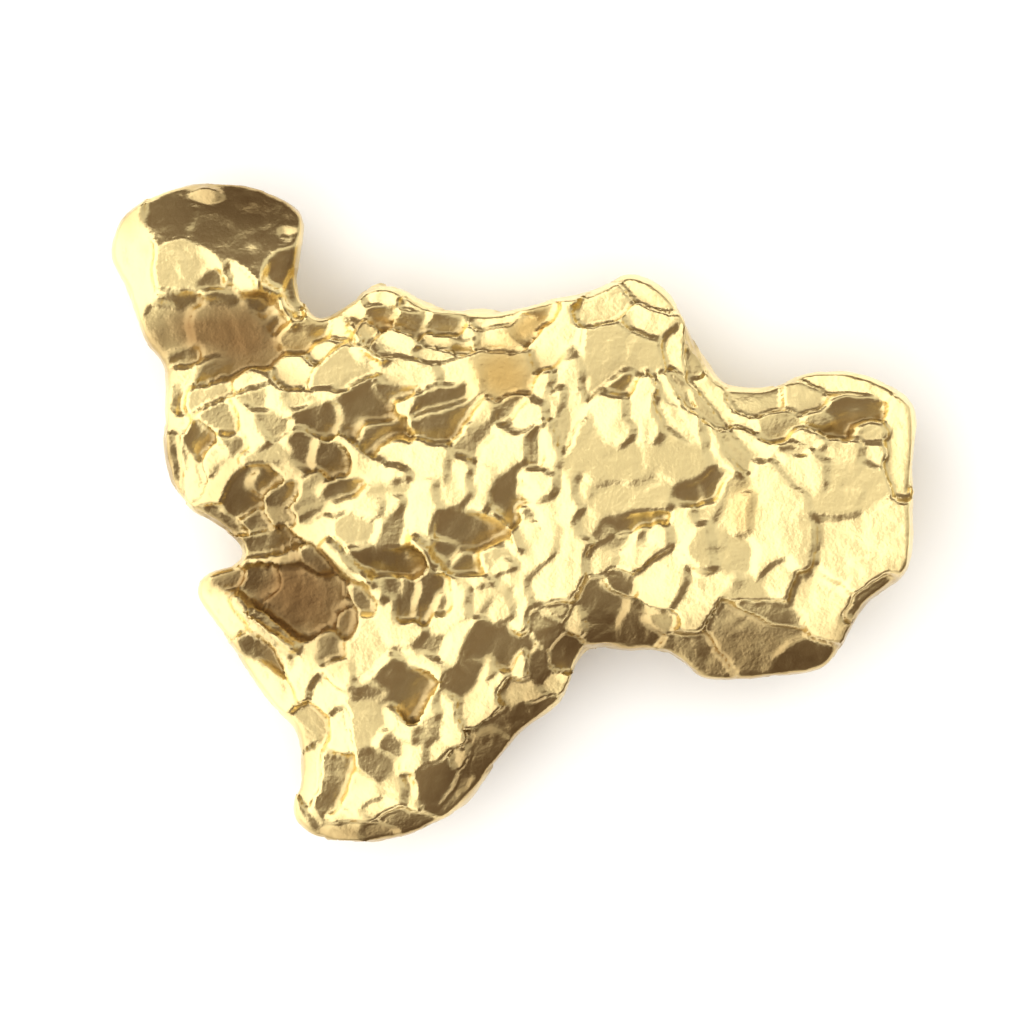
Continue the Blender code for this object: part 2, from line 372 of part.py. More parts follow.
def hackle_height(points):
    """Rounded lumps with creases between them, each a little tilted."""
    height = np.full(len(points), HACKLE_LIFT)
    for size, bulge, tilt in HACKLES:
        for i, point in enumerate(points):
            place = Vector(point) / size
            middle = noise.voronoi(place)[1][0]
            out = place - middle
            leaning = tilt * out.dot(noise.cell_vector(middle * LUMP_MIX))
            height[i] += size * (leaning - bulge * out.length_squared)
    return height


def puffed_plate(outline, place):
    """The plate swollen to the nugget's plain top and underside."""
    mesh = with_modifier(plate(outline, PLATE_VOXEL), "REMESH", mode="VOXEL", voxel_size=PLATE_VOXEL)
    points = points_of(mesh)
    xy = points[:, :2]
    inward, edge = place(xy)
    up = edge_profile(inward, edge) * plain_crown(xy, inward)
    down = edge_profile(inward, BELLY_EDGE) * (swell_rise(xy, BELLY_SWELLS) - BELLY_DROP)
    points[:, 2] = EQUATOR + np.where(points[:, 2] > EQUATOR, up, down)
    set_points(mesh, points)
    return mesh


def nugget_mesh():
    outline = grown_outline(smooth_outline(OUTLINE, OUTLINE_STEPS), OUTLINE_GROWTH)
    closed = np.vstack([outline, outline[:1]])

    def place(xy):
        """Each point's way in from the outline, and the edge rounding there."""
        inward, along = distance_to_line(xy, closed[:, :2])
        return inward, np.interp(along, np.arange(len(closed)), closed[:, 2])

    mesh = with_modifier(puffed_plate(outline, place), "REMESH", mode="VOXEL", voxel_size=BODY_VOXEL)

    # The facets are pressed into the top.
    points = points_of(mesh)
    xy = points[:, :2]
    inward, edge = place(xy)
    plain = plain_crown(xy, inward)
    on_top = points[:, 2] > EQUATOR
    middles = np.array([facet[:2] for facet in CROWN_FACETS])
    lifts = np.array([facet[7] for facet in CROWN_FACETS])
    wanted = plain_crown(middles, place(middles)[0]) + lifts
    heights = settled_heights(xy[on_top], plain[on_top], wanted)
    relief = edge_profile(inward, edge) * (faceted_crown(xy, plain, heights) - plain)
    points[:, 2] += np.where(on_top, relief, 0)
    set_points(mesh, points)

    # The sides and the underside get their lumps, which fade out towards the top edge.
    normals = normals_of(mesh)
    steepness = np.clip((STEEP_NORMAL - normals[:, 2]) / STEEP_RANGE, 0, 1)
    on_side = inward < SIDE_WIDTH
    depth = np.clip((EQUATOR + RIM_RISE - points[:, 2]) / SIDE_WIDTH, LEAST_SIDE, 1)
    roughness = steepness * np.where(on_side, depth, CROWN_HACKLES)
    points += normals * (roughness * (hackle_height(points) - SIDE_DROP * on_side))[:, None]
    set_points(mesh, points)

    triangles = sum(len(face.vertices) - 2 for face in mesh.polygons)
    mesh = with_modifier(mesh, "DECIMATE", ratio=MOST_TRIANGLES / triangles)
    points = points_of(mesh)
    points[:, 2] = np.maximum(points[:, 2], 0)  # the worn feet lie flat on the resting plane
    set_points(mesh, points)
    return mesh


def gold():
    material = bpy.data.materials.new("native_gold")
    material.use_nodes = True
    shader = material.node_tree.nodes["Principled BSDF"]
    shader.inputs["Base Color"].default_value = (0.95, 0.74, 0.34, 1)
    shader.inputs["Metallic"].default_value = 1.0
    shader.inputs["Roughness"].default_value = 0.28
    return material


def main():
    for obj in list(bpy.data.objects):
        bpy.data.objects.remove(obj)
    mesh = nugget_mesh()
    mesh.name = "nugget"
    mesh.transform(Matrix.Scale(MM, 4))
    mesh.materials.clear()
    mesh.materials.append(gold())
    mesh.shade_smooth()
    nugget = bpy.data.objects.new("nugget", mesh)
    bpy.context.collection.objects.link(nugget)


main()
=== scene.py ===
import math

import bmesh
import bpy
import numpy as np
from mathutils import Matrix, Vector, noise


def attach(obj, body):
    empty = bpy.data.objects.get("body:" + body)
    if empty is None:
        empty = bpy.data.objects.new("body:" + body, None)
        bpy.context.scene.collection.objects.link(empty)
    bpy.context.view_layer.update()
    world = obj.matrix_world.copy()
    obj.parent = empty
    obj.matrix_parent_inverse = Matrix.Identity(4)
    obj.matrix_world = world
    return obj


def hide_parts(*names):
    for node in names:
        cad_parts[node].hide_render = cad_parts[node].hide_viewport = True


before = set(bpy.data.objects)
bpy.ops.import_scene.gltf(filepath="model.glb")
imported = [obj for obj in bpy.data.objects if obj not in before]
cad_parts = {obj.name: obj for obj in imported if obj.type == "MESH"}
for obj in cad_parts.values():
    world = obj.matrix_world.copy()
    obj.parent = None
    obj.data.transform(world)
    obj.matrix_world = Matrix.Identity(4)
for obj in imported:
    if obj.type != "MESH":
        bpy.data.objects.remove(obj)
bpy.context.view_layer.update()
print("frame: nodes", sorted(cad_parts))

mm = 0.001  # the nugget is shaped in millimetres and scaled once, at the end

nuggetForm = {
    "equator": 2.6,  # height of the widest outline above the table
    "rimRise": 0.95,  # shoulder above the equator, just inside the outline
    "crownRise": 2.05,  # plain top above the equator
    "domeReach": 2.3,  # how far in from the outline the top goes on rising
    "bellyDrop": 2.6,  # underside below the equator
    "bellyEdge": 2.7,  # rounding of the outline towards the underside
    "swellSharpness": 2,  # 2 fades the swells softly, more gives them an edge
    "outlineSteps": 6,  # straight pieces between two outline points
    "outlineGrowth": 0.1,  # makes up for what smoothing takes off
    "plateVoxel": 0.14,  # mesh of the plate that is puffed up
    "bodyVoxel": 0.09,  # mesh of the finished body
    "smoothing": 5,  # rounds
    "wanderSeed": 5,
    "wander": [(0.9, 0.11), (0.33, 0.06)],  # size and reach of the unevenness of the facets' outlines
    "facetSharpness": 8.0,  # how crisply neighbouring facets meet
    "facetHold": 0.1,  # how firmly a facet keeps its own height
    "plainGround": 2.4,  # how far out of a facet, in its own widths, the plain surface takes over
    "settlingStep": 5,  # the facets' heights are settled on every fifth point
    "blockSize": 10000,  # points worked on at a time
    "spikeRings": 3,  # points across half of the widest spike that is cut
    "spikeRoom": 0.24,  # how far a thin ridge may still stand up
    "hackles": [(2.1, 0.4, 0.15), (0.8, 0.2, 0.08)],  # size, bulge and tilt of the lumps below the top
    "hackleLift": 0.16,
    "hackleMix": 40,  # gives each lump a tilt of its own
    "crownHackles": 0.5,  # share of them on the steep parts of the top
    "steepNormal": 0.85,  # steep is where the normal points up less than this
    "steepRange": 0.5,
    "sideWidth": 0.8,  # how far in from the outline, and down from the shoulder, the sides come in
    "sideLeast": 0.15,  # share of the lumps at the shoulder
    "sideDrop": 0.12,  # keeps the lumps of the sides behind the top edge
    # edge of the stains and of the painted shade spots
    "stainAndShadeSharpness": 3,
    "hollowStart": 0.04,  # sunk less than this, the metal keeps its bright colour, without patina or painted shade
    "hollowDepth": 0.4,  # from there to here it darkens with patina and painted shade
}

# clockwise from the head's left side: x, y, rounding of the top edge
outlinePoints = [
    # head
    (-10.0, 6.5, 0.2), (-9.8, 7.25, 0.2), (-9.3, 7.7, 0.2), (-8.6, 8.05, 0.23), (-7.9, 8.2, 0.16),
    (-7.2, 8.25, 0.13), (-6.5, 8.15, 0.13), (-5.9, 7.9, 0.13), (-5.4, 7.58, 0.13), (-5.23, 7.2, 0.14),
    (-5.32, 6.3, 0.21), (-5.34, 5.6, 0.2), (-5.15, 5.08, 0.2), (-4.85, 4.82, 0.19),
    # shoulder and long top side
    (-4.5, 4.9, 0.19), (-4.05, 5.2, 0.19), (-3.7, 5.48, 0.19), (-3.2, 5.65, 0.19), (-2.7, 5.45, 0.19),
    (-2.1, 5.1, 0.19), (-1.4, 5.0, 0.19), (-0.6, 4.95, 0.19), (0.0, 5.02, 0.19), (1.0, 5.28, 0.19),
    (1.8, 5.4, 0.19), (2.3, 5.62, 0.19), (2.8, 5.9, 0.19), (3.25, 5.82, 0.19), (3.7, 5.55, 0.2),
    (4.1, 5.1, 0.2), (4.45, 4.4, 0.2), (4.75, 3.75, 0.2), (5.05, 3.3, 0.19), (5.5, 3.1, 0.19),
    # right lobe
    (6.3, 3.12, 0.19), (7.1, 3.42, 0.19), (7.8, 3.5, 0.19), (8.6, 3.42, 0.19), (9.3, 3.15, 0.19),
    (9.8, 2.8, 0.19), (9.98, 2.3, 0.19), (9.95, 1.6, 0.19), (9.88, 0.6, 0.19), (9.88, -0.6, 0.19),
    (9.78, -1.35, 0.19), (9.35, -1.85, 0.2), (8.8, -2.25, 0.15), (8.4, -2.8, 0.13), (8.1, -3.4, 0.12),
    (7.74, -3.86, 0.12), (7.0, -4.05, 0.12), (6.0, -4.1, 0.12), (5.1, -4.15, 0.12), (4.6, -4.06, 0.12),
    (4.1, -3.65, 0.13), (3.5, -3.42, 0.14), (2.8, -3.42, 0.14), (2.15, -3.3, 0.14),
    # hollow under the saddle and the long slope
    (1.75, -3.55, 0.22), (1.46, -4.12, 0.15), (1.22, -4.65, 0.13), (0.8, -5.0, 0.12), (0.28, -5.38, 0.12),
    (-0.1, -5.82, 0.12), (-0.52, -6.35, 0.12), (-1.0, -6.95, 0.13), (-1.6, -7.5, 0.13), (-2.4, -7.95, 0.13),
    (-3.2, -8.15, 0.13), (-4.1, -8.2, 0.13), (-4.8, -8.1, 0.13), (-5.3, -7.75, 0.19), (-5.42, -7.3, 0.19),
    (-5.28, -6.6, 0.19), (-5.25, -5.9, 0.19), (-5.4, -5.35, 0.19), (-5.85, -4.95, 0.19),
    # spur and notch
    (-6.34, -4.33, 0.2), (-6.94, -3.43, 0.2), (-7.5, -2.6, 0.19), (-7.82, -2.1, 0.19), (-7.75, -1.7, 0.18),
    (-7.35, -1.48, 0.17), (-6.9, -1.35, 0.17), (-6.68, -1.08, 0.17), (-6.85, -0.7, 0.18),
    (-7.42, -0.28, 0.19), (-8.02, 0.07, 0.19), (-8.42, 0.55, 0.19), (-8.62, 1.2, 0.19), (-8.68, 2.0, 0.19),
    (-8.6, 3.3, 0.19), (-8.75, 3.82, 0.19), (-9.1, 4.2, 0.19), (-9.35, 4.8, 0.2), (-9.6, 5.6, 0.2),
    (-9.88, 6.1, 0.2),
]

# x, y, half length, half width, turn, rise
crownSwells = [
    (-1.6, 0.6, 4.6, 3.2, 0, 0.35), (3.4, 2.4, 2.4, 2.6, 0, 0.3), (-7.6, 7.2, 2.4, 1.9, 0, -0.4),
    (-7.2, 4.4, 1.8, 1.2, 0, -0.35), (9.6, 0.2, 3.2, 3.0, 0, 0.42), (-4.2, -7.0, 2.0, 1.8, 0, -0.3),
    (-7.2, -2.2, 1.2, 1.0, 0, -0.3), (6.0, -3.6, 2.4, 1.0, 0, -0.2),
]
# half width, rise, crest points
crownRidges = [
    (0.16, 0.25, [(-6.2, 5.6), (-5.8, 5.25), (-5.5, 4.8)]),
    (0.16, 0.25, [(-4.0, 4.6), (-3.7, 4.1), (-3.2, 3.8)]),
    (0.14, 0.30, [(-6.6, -2.5), (-6.0, -3.0), (-5.5, -3.4)]),
    (0.14, 0.35, [(-4.6, -0.8), (-4.1, -1.25), (-3.6, -1.7)]),
    (0.13, 0.35, [(-2.4, -0.8), (-2.0, -1.2), (-1.6, -1.55)]),
    (0.12, 0.20, [(-0.5, 0.0), (-0.1, -0.4), (0.1, -0.9)]),
]
# x, y, half length, half width, turn, lean in degrees, side it leans to (0 right, 90 back, 180 left), lift
crownFacets = [
    # head: bright left rim, dark back, flat, blobs
    (-9.42, 6.65, 1.35, 0.42, 100, 13, 180, 0), (-8.45, 7.25, 0.75, 0.5, 25, 28, 95, -0.05),
    (-6.85, 6.9, 1.35, 0.95, -20, 26, 90, 0), (-5.75, 6.2, 0.5, 0.4, 80, 24, 310, 0),
    (-7.65, 7.85, 0.38, 0.24, 0, 9, 200, 0.12), (-5.65, 6.98, 0.28, 0.14, 10, 8, 200, 0.1),
    (-8.2, 6.15, 0.8, 0.68, -10, 2, 0, 0), (-7.55, 5.8, 0.32, 0.28, 35, 22, 305, -0.22),
    (-6.75, 5.8, 0.6, 0.22, -45, 13, 200, 0.1), (-5.45, 5.6, 0.35, 0.2, 90, 14, 310, -0.05),
    # neck: stained hollow between blobs
    (-7, 4.5, 1, 0.95, 0, 7, 300, -0.5), (-7.1, 5.3, 0.6, 0.22, -10, 26, 305, -0.2),
    (-7.45, 3.6, 0.55, 0.35, 35, 18, 305, -0.4), (-6.25, 5.1, 0.65, 0.3, -30, 28, 300, -0.4),
    (-8.5, 4.55, 0.55, 0.8, 0, 5, 310, -0.15), (-5.88, 4.75, 0.4, 0.36, 0, 26, 305, -0.4),
    (-8.25, 5.25, 0.6, 0.22, 0, 24, 305, -0.2), (-8, 3.42, 0.45, 0.26, 22, 9, 190, 0.1),
    (-5.5, 4.4, 0.45, 0.3, -20, 12, 310, -0.1),
    # left body
    (-7.6, 2.95, 0.6, 0.26, 25, 2, 310, 0.08), (-6.45, 3.3, 0.45, 0.24, 8, 9, 180, 0.2),
    (-5.75, 2.8, 0.4, 0.24, -60, 11, 190, 0.15), (-5.9, 2.2, 0.35, 0.2, 0, 12, 310, 0),
    (-5.3, 2.78, 0.45, 0.18, -10, 4, 190, 0.05), (-7.25, 2.25, 0.5, 0.35, 0, 10, 320, 0),
    (-6.25, 2.85, 0.35, 0.25, 0, 10, 310, 0), (-6.55, 2.1, 0.52, 0.24, -65, 12, 195, 0.2),
    (-7.9, 1.75, 0.36, 0.34, 0, 26, 305, -0.2), (-8.15, 1.4, 0.4, 0.16, -60, 18, 310, 0),
    (-8.4, 2.3, 0.35, 0.2, -50, 11, 190, 0.1), (-8.3, 2.8, 0.3, 0.2, 90, 14, 310, 0),
    (-8.4, 1.2, 0.55, 0.2, 90, 18, 305, 0), (-8.2, 3.85, 0.55, 0.24, 20, 24, 305, -0.15),
    (-7, 1.7, 0.36, 0.28, 0, 14, 320, 0), (-7.42, 1.3, 0.45, 0.3, 60, 8, 190, 0.15),
    (-6.2, 1.35, 0.6, 0.22, 0, 3, 0, 0.05), (-7.95, 1, 0.5, 0.26, 100, 12, 185, 0),
    (-7.25, 0.78, 0.7, 0.26, 60, 12, 185, 0.12), (-6.7, 0.42, 0.6, 0.36, 60, 26, 305, -0.3),
    (-6.25, 0.7, 0.5, 0.3, 20, 28, 305, -0.25), (-7.1, -0.25, 0.6, 0.22, -30, 14, 305, 0),
    (-6.45, -0.3, 0.35, 0.25, 0, 18, 310, -0.1), (-5.8, 0.45, 0.45, 0.3, 0, 22, 305, -0.15),
    (-6.2, -0.75, 0.7, 0.3, 0, 20, 310, -0.17), (-5.85, -0.15, 0.35, 0.2, 0, 6, 310, 0.03),
    (-5.1, 0.15, 0.5, 0.25, 0, 12, 310, -0.05), (-4.95, 0.65, 0.4, 0.22, 50, 8, 310, 0),
    (-5.65, 0.95, 0.5, 0.24, 0, 5, 190, 0), (-5.18, 1.52, 0.5, 0.28, 90, 22, 310, -0.15),
    (-4.2, 0.6, 0.5, 0.2, 20, 26, 305, -0.15),
    # upper middle: bright shoulder, grooves, hackly pits
    (-5.4, 3.55, 0.48, 0.34, 30, 10, 170, 0.05), (-4.65, 4.1, 0.42, 0.2, 30, 10, 165, 0.05),
    (-4.35, 4.58, 0.5, 0.25, 50, 10, 180, 0.1), (-4.75, 4.5, 0.3, 0.26, 0, 20, 310, -0.05),
    (-3.65, 4.55, 0.4, 0.2, 40, 5, 190, 0.03), (-4.25, 3.6, 0.62, 0.42, 20, 3, 0, 0.1),
    (-4, 5.05, 0.6, 0.34, 58, 9, 190, 0.25), (-2.5, 5.2, 0.35, 0.2, -35, 9, 190, 0.05),
    (-3.3, 4.95, 0.36, 0.26, 30, 22, 305, -0.2), (-3.2, 5.38, 0.6, 0.24, 0, 8.5, 190, 0.12),
    (-2.4, 4.75, 0.5, 0.25, 0, 16, 310, -0.13), (-1.65, 4.7, 0.6, 0.3, 0, 22, 305, -0.15),
    (-2.8, 4.15, 0.6, 0.27, -10, 9, 190, 0.15), (-1.6, 4.3, 0.65, 0.2, 5, 9, 190, 0.1),
    (-1.2, 4.45, 0.45, 0.25, 40, 8, 190, 0.06), (-2.9, 3.65, 0.6, 0.17, -12, 9, 190, 0),
    (-2, 3.95, 0.5, 0.15, 0, 5, 180, 0), (-1.35, 3.5, 0.5, 0.25, 5, 9, 180, 0),
    (-2.4, 3.35, 0.6, 0.2, 10, 7, 180, -0.05), (-3.8, 2.5, 0.8, 0.5, 25, 26, 305, -0.3),
    (-3.35, 2.05, 0.75, 0.36, -20, 26, 305, -0.3), (-3.05, 3, 0.34, 0.22, 0, 26, 305, -0.2),
    (-4.7, 2.3, 0.62, 0.34, 0, 24, 305, -0.25), (-4.65, 2.82, 0.36, 0.16, 10, 9, 190, 0.1),
    (-4.65, 1.35, 0.55, 0.38, 0, 22, 305, -0.22), (-4.05, 1.6, 0.5, 0.22, -50, 8.5, 190, 0.15),
    (-1.6, 2.35, 0.75, 0.36, 30, 26, 305, -0.24), (-1.55, 2.8, 0.66, 0.26, 25, 24, 305, -0.2),
    (-0.95, 3.2, 0.45, 0.22, 70, 8, 190, 0.08), (-2.1, 2.05, 0.4, 0.25, 0, 24, 305, -0.22),
    (-2.7, 2.65, 0.24, 0.22, 0, 11, 190, 0.1), (-2.95, 1.62, 0.42, 0.3, -30, 8.5, 190, 0.1),
    (-3.4, 0.9, 0.5, 0.2, 0, 11, 180, 0.1), (-2.1, 1.3, 0.5, 0.36, -30, 8.5, 180, 0.08),
    (-3.7, 1.15, 0.38, 0.2, -20, 9, 190, 0.1), (-1.2, 1.65, 0.28, 0.3, 0, 11, 310, 0),
    (-1.35, 1.12, 0.38, 0.24, 70, 8.5, 185, 0.08),
    # centre
    (-5.05, -0.48, 0.5, 0.2, 0, 11, 175, 0.15), (-4.95, 0, 0.45, 0.22, 10, 24, 305, -0.15),
    (-4.7, -0.25, 0.28, 0.17, 60, 9, 180, 0.05), (-3.6, 0.15, 0.45, 0.26, 0, 8, 180, 0.1),
    (-3.2, 0.55, 0.5, 0.17, 0, 4, 310, 0), (-4.3, 0.15, 0.3, 0.15, 20, 8, 180, 0.05),
    (-3.95, -0.4, 0.5, 0.36, 0, 3, 0, 0.05), (-2.95, -0.5, 0.35, 0.42, 0, 13, 320, 0),
    (-3.1, 0.1, 0.3, 0.25, 60, 8, 190, 0.05), (-2.2, 0, 0.55, 0.3, 90, 11, 180, 0.12),
    (-2.3, -0.9, 0.5, 0.3, 100, 7.5, 190, 0.22), (-1.3, -0.45, 0.65, 0.42, -20, 24, 305, -0.26),
    (-1.45, 0.4, 0.45, 0.26, 0, 6, 185, 0.05), (-1.75, -1.05, 0.4, 0.3, 0, 28, 305, -0.28),
    (-1.2, -1.28, 0.5, 0.26, -10, 26, 305, -0.22), (-1.02, -1.72, 0.4, 0.24, 0, 8, 190, 0.1),
    (-1.7, -2.3, 0.32, 0.2, 60, 18, 305, -0.12), (-0.35, -1.4, 0.35, 0.2, 20, 8, 190, 0.05),
    (-0.35, 3.4, 0.6, 0.55, 0, 7, 10, -0.05), (0.3, 4.6, 0.45, 0.26, 30, 10, 60, -0.1),
    (0.7, 4.85, 0.45, 0.3, 20, 13, 310, -0.05), (-0.6, 4.75, 0.5, 0.22, 0, 7, 190, 0),
    (1.15, 4.2, 0.85, 0.45, 90, 9, 185, 0.06), (1.25, 3.5, 0.7, 0.3, 75, 8.5, 185, 0.2),
    (0.75, 3.1, 0.4, 0.22, 60, 8.5, 185, 0.1), (-0.3, 4.35, 0.5, 0.25, 0, 8, 185, 0),
    (1.1, 2.85, 0.35, 0.18, 70, 9, 185, 0.05), (0.25, 2.3, 0.6, 0.28, 55, 9, 170, 0.1),
    (-0.05, 2.65, 0.4, 0.24, 50, 16, 310, 0), (-0.8, 2.4, 0.4, 0.22, 60, 5, 190, 0.05),
    (-0.1, 1.5, 0.75, 0.42, 50, 9, 180, 0.14), (-0.62, 0.85, 0.5, 0.25, 70, 9, 180, 0.08),
    (-0.88, 0.28, 0.36, 0.22, 30, 8.5, 190, 0.1), (-0.95, 2, 0.3, 0.26, 0, 14, 310, -0.05),
    (0.57, 1.65, 0.38, 0.15, 85, 14, 310, -0.05), (0.9, 1.6, 0.45, 0.12, 90, 11, 180, 0.1),
    (1.2, 2.15, 0.4, 0.13, 80, 8, 0, -0.1), (1.5, 2.75, 0.3, 0.14, 80, 8, 180, 0),
    (0.5, 0.78, 0.42, 0.22, -15, 10, 190, 0.15), (0.3, 0.48, 0.28, 0.2, 0, 9, 190, 0.12),
    (-0.1, 0.4, 0.85, 0.4, 80, 26, 305, -0.25), (0.4, -0.05, 0.33, 0.17, -30, 14, 310, -0.1),
    (0.55, -0.65, 0.75, 0.5, 30, 9, 185, 0.08), (1.35, 0.15, 0.55, 0.24, 90, 10, 180, 0.1),
    (1.35, -0.6, 0.45, 0.4, 90, 8.5, 190, 0.16), (-0.5, -1.2, 0.5, 0.26, 20, 5, 310, 0),
    (1.2, -1.6, 0.75, 0.42, 60, 8.5, 190, 0.2), (1.8, 0.6, 0.3, 0.13, 90, 8, 180, 0),
    (1.05, -2.35, 0.36, 0.22, 0, 7.5, 310, 0), (0.9, -3, 0.3, 0.28, 0, 14, 310, 0),
    # upper right: broad flats, strokes and diagonals
    (2.7, 4.1, 0.95, 0.6, 0, 3, 0, 0.05), (2.2, 5, 0.5, 0.26, 15, 4, 180, 0),
    (3.5, 5.3, 0.5, 0.22, -40, 8, 180, 0), (3.45, 4.6, 0.7, 0.34, -5, 8.5, 190, 0.22),
    (4.02, 4.1, 0.6, 0.27, 100, 8.5, 185, 0.16), (4.48, 3.8, 0.4, 0.14, 100, 9, 310, 0),
    (4.45, 4.5, 0.45, 0.15, -65, 16, 60, 0), (2.7, 3.2, 0.34, 0.2, 45, 24, 305, -0.17),
    (2.45, 2.35, 0.55, 0.24, 80, 10, 180, 0.1), (3.2, 2.6, 0.7, 0.24, 92, 10, 180, 0.1),
    (3.95, 2.75, 0.45, 0.18, -62, 11, 190, 0.1), (4.25, 2.15, 0.65, 0.28, -45, 9, 200, 0.1),
    (5.1, 1.5, 0.65, 0.21, -55, 9.5, 190, 0.12), (5.45, 1.5, 0.45, 0.2, -50, 5, 310, 0),
    (4.65, 2.6, 0.5, 0.15, -50, 7, 310, -0.03), (4.2, 2.95, 0.5, 0.16, -65, 11, 310, 0),
    (5.15, 2.75, 0.7, 0.2, -45, 10, 200, 0.1), (5.6, 2.35, 0.45, 0.18, -30, 9, 190, 0.1),
    (5.85, 1.85, 0.45, 0.22, -50, 8, 200, 0.05), (6.4, 1.5, 0.4, 0.12, -50, 8, 200, 0.05),
    (2.55, 1.2, 0.75, 0.5, 0, 2, 0, 0), (2.65, 1.95, 0.3, 0.2, 90, 8.5, 185, 0.05),
    (3.95, 1.25, 0.75, 0.55, -10, 2, 330, 0), (3.45, 2.05, 0.35, 0.2, 90, 8.5, 185, 0.12),
    (3.1, 0.5, 0.9, 0.4, 0, 2, 60, 0), (4.4, 0.5, 0.5, 0.22, 10, 26, 305, -0.2),
    (3.2, 0.85, 0.6, 0.13, 20, 7, 310, 0), (4.95, 0.65, 0.42, 0.26, 30, 26, 305, -0.18),
    (2.9, -0.3, 0.6, 0.22, 10, 24, 305, -0.15), (2.6, -0.75, 0.35, 0.18, 10, 12, 310, -0.1),
    (2.3, -0.5, 0.3, 0.2, 30, 6, 310, 0), (1.85, -0.4, 0.3, 0.26, 0, 4, 190, 0.02),
    (2.1, -1.3, 0.36, 0.26, 0, 3.5, 190, 0), (2.58, -1.8, 0.42, 0.3, 0, 20, 310, -0.08),
    (3.58, -0.6, 0.3, 0.19, 90, 9, 190, 0.15), (3.2, -0.6, 0.32, 0.19, 90, 17, 310, -0.06),
    (3, -1.2, 0.55, 0.3, 45, 8, 190, 0.15), (4.2, -0.2, 0.45, 0.25, 80, 8, 180, 0.05),
    (4.7, -1, 0.42, 0.3, 80, 3, 310, 0.22), (3.7, -1.75, 0.6, 0.48, 0, 10, 190, 0.05),
    (3.6, -2.7, 0.45, 0.22, 0, 4, 310, 0), (4.5, -2.25, 0.85, 0.36, 85, 8, 190, 0.3),
    (4.5, -3.5, 0.5, 0.5, 0, 11, 295, 0), (5.3, -0.9, 0.5, 0.38, 0, 4, 0, 0),
    (5.55, 0, 0.6, 0.35, 90, 6.5, 180, 0.05), (5.45, 0.55, 0.35, 0.28, 0, 9, 310, 0),
    (5, -1.7, 0.48, 0.22, -10, 8, 190, 0.05), (4.9, 0.1, 0.3, 0.2, 30, 3, 180, 0),
    # right lobe
    (5.9, 2.75, 0.6, 0.25, 0, 14, 70, 0), (6.6, 2.15, 0.4, 0.28, 0, 9, 310, 0),
    (6.45, -0.1, 0.9, 0.55, 95, 7.6, 180, 0.05), (7.2, 1.05, 0.7, 0.36, -40, 8.3, 190, 0.06),
    (8.4, 0.6, 0.8, 0.6, 20, 1.8, 60, 0.06), (7.15, -0.95, 0.65, 0.3, 98, 3.2, 185, 0.22),
    (8.7, -0.95, 1.3, 0.85, 28, 7.3, 190, 0.28), (7.75, -2.2, 0.95, 0.52, -45, 7.6, 190, 0.22),
    (8.3, 2.5, 0.8, 0.4, 15, 24, 305, -0.22), (8.85, 2.02, 0.5, 0.2, -10, 3, 330, 0),
    (7.6, 2.35, 0.35, 0.2, -10, 9, 305, 0), (7.2, 2.75, 0.45, 0.24, 0, 9, 60, 0),
    (8.7, 3.08, 0.85, 0.28, -12, 9.5, 190, 0.12), (9.5, 1.8, 1.15, 0.27, 93, 9.5, 190, 0.04),
    (8.9, 1.45, 0.35, 0.28, 0, 8.5, 190, 0.05), (6.95, 1.42, 0.45, 0.13, -22, 18, 305, -0.12),
    (7.3, 1.75, 0.55, 0.2, -30, 9, 190, 0.18), (8.15, 1.5, 0.6, 0.25, 0, 4, 185, 0),
    (5.9, -2, 0.6, 0.28, -10, 4, 320, 0.08), (6.7, -1.7, 0.4, 0.34, 60, 7.3, 190, 0.12),
    (6.3, -2.45, 0.65, 0.28, -15, 13, 300, -0.05), (5.75, -3.05, 1, 0.45, -5, 9.5, 290, 0.05),
    (7.3, -3.52, 0.6, 0.3, 0, 26, 300, 0), (8.75, -2.2, 0.8, 0.23, 42, 16, 310, 0),
    # saddle
    (2.25, -2.3, 0.65, 0.38, -65, 20, 320, -0.17), (3, -2.8, 0.5, 0.38, 0, 20, 290, -0.1),
    (1.5, -2.6, 0.32, 0.2, 70, 6, 190, 0.05), (1.3, -3.3, 0.35, 0.18, 80, 24, 320, -0.09),
    # lower left: spur and the big stained hollow
    (-5.35, -2.1, 1, 0.8, -25, 10, 300, -0.8), (-4.9, -1.25, 0.45, 0.3, -20, 24, 290, -0.43),
    (-4.25, -1.15, 0.8, 0.2, -45, 8.5, 190, 0.12), (-6.15, -1.8, 0.45, 0.4, 0, 18, 300, -0.6),
    (-7.05, -1.65, 0.3, 0.16, 0, 14, 310, -0.09), (-5.75, -1.2, 0.5, 0.26, 0, 5, 190, 0.1),
    (-7.42, -2.32, 0.65, 0.27, -48, 12, 195, 0.05), (-6.25, -3.5, 0.6, 0.22, -35, 16, 305, -0.12),
    (-6, -2.84, 0.85, 0.3, -40, 7.5, 195, 0.3), (-5.5, -3.65, 0.4, 0.18, -60, 3.2, 200, 0.05),
    (-6, -4.3, 0.6, 0.32, -52, 10, 200, 0), (-5.08, -3.85, 0.62, 0.3, 75, 8.3, 190, 0.12),
    (-4.6, -3.35, 0.36, 0.34, 80, 13, 310, -0.1), (-4.35, -3.95, 0.35, 0.24, 90, 8, 190, 0.08),
    (-4.15, -2.75, 0.28, 0.35, 0, 16, 310, -0.2), (-4.7, -4.55, 0.5, 0.28, -65, 10, 190, 0.05),
    (-4.3, -5.45, 0.52, 0.22, -75, 11, 190, 0.05), (-5.1, -5.2, 0.45, 0.36, 0, 3.2, 310, -0.05),
    (-3.38, -1.92, 0.5, 0.24, -50, 8.5, 190, 0.12), (-3.1, -2.6, 0.55, 0.28, 80, 8.5, 190, 0.08),
    (-3.72, -2.2, 0.42, 0.22, -50, 13, 310, -0.05), (-3.1, -1.18, 0.85, 0.26, -8, 28, 300, -0.2),
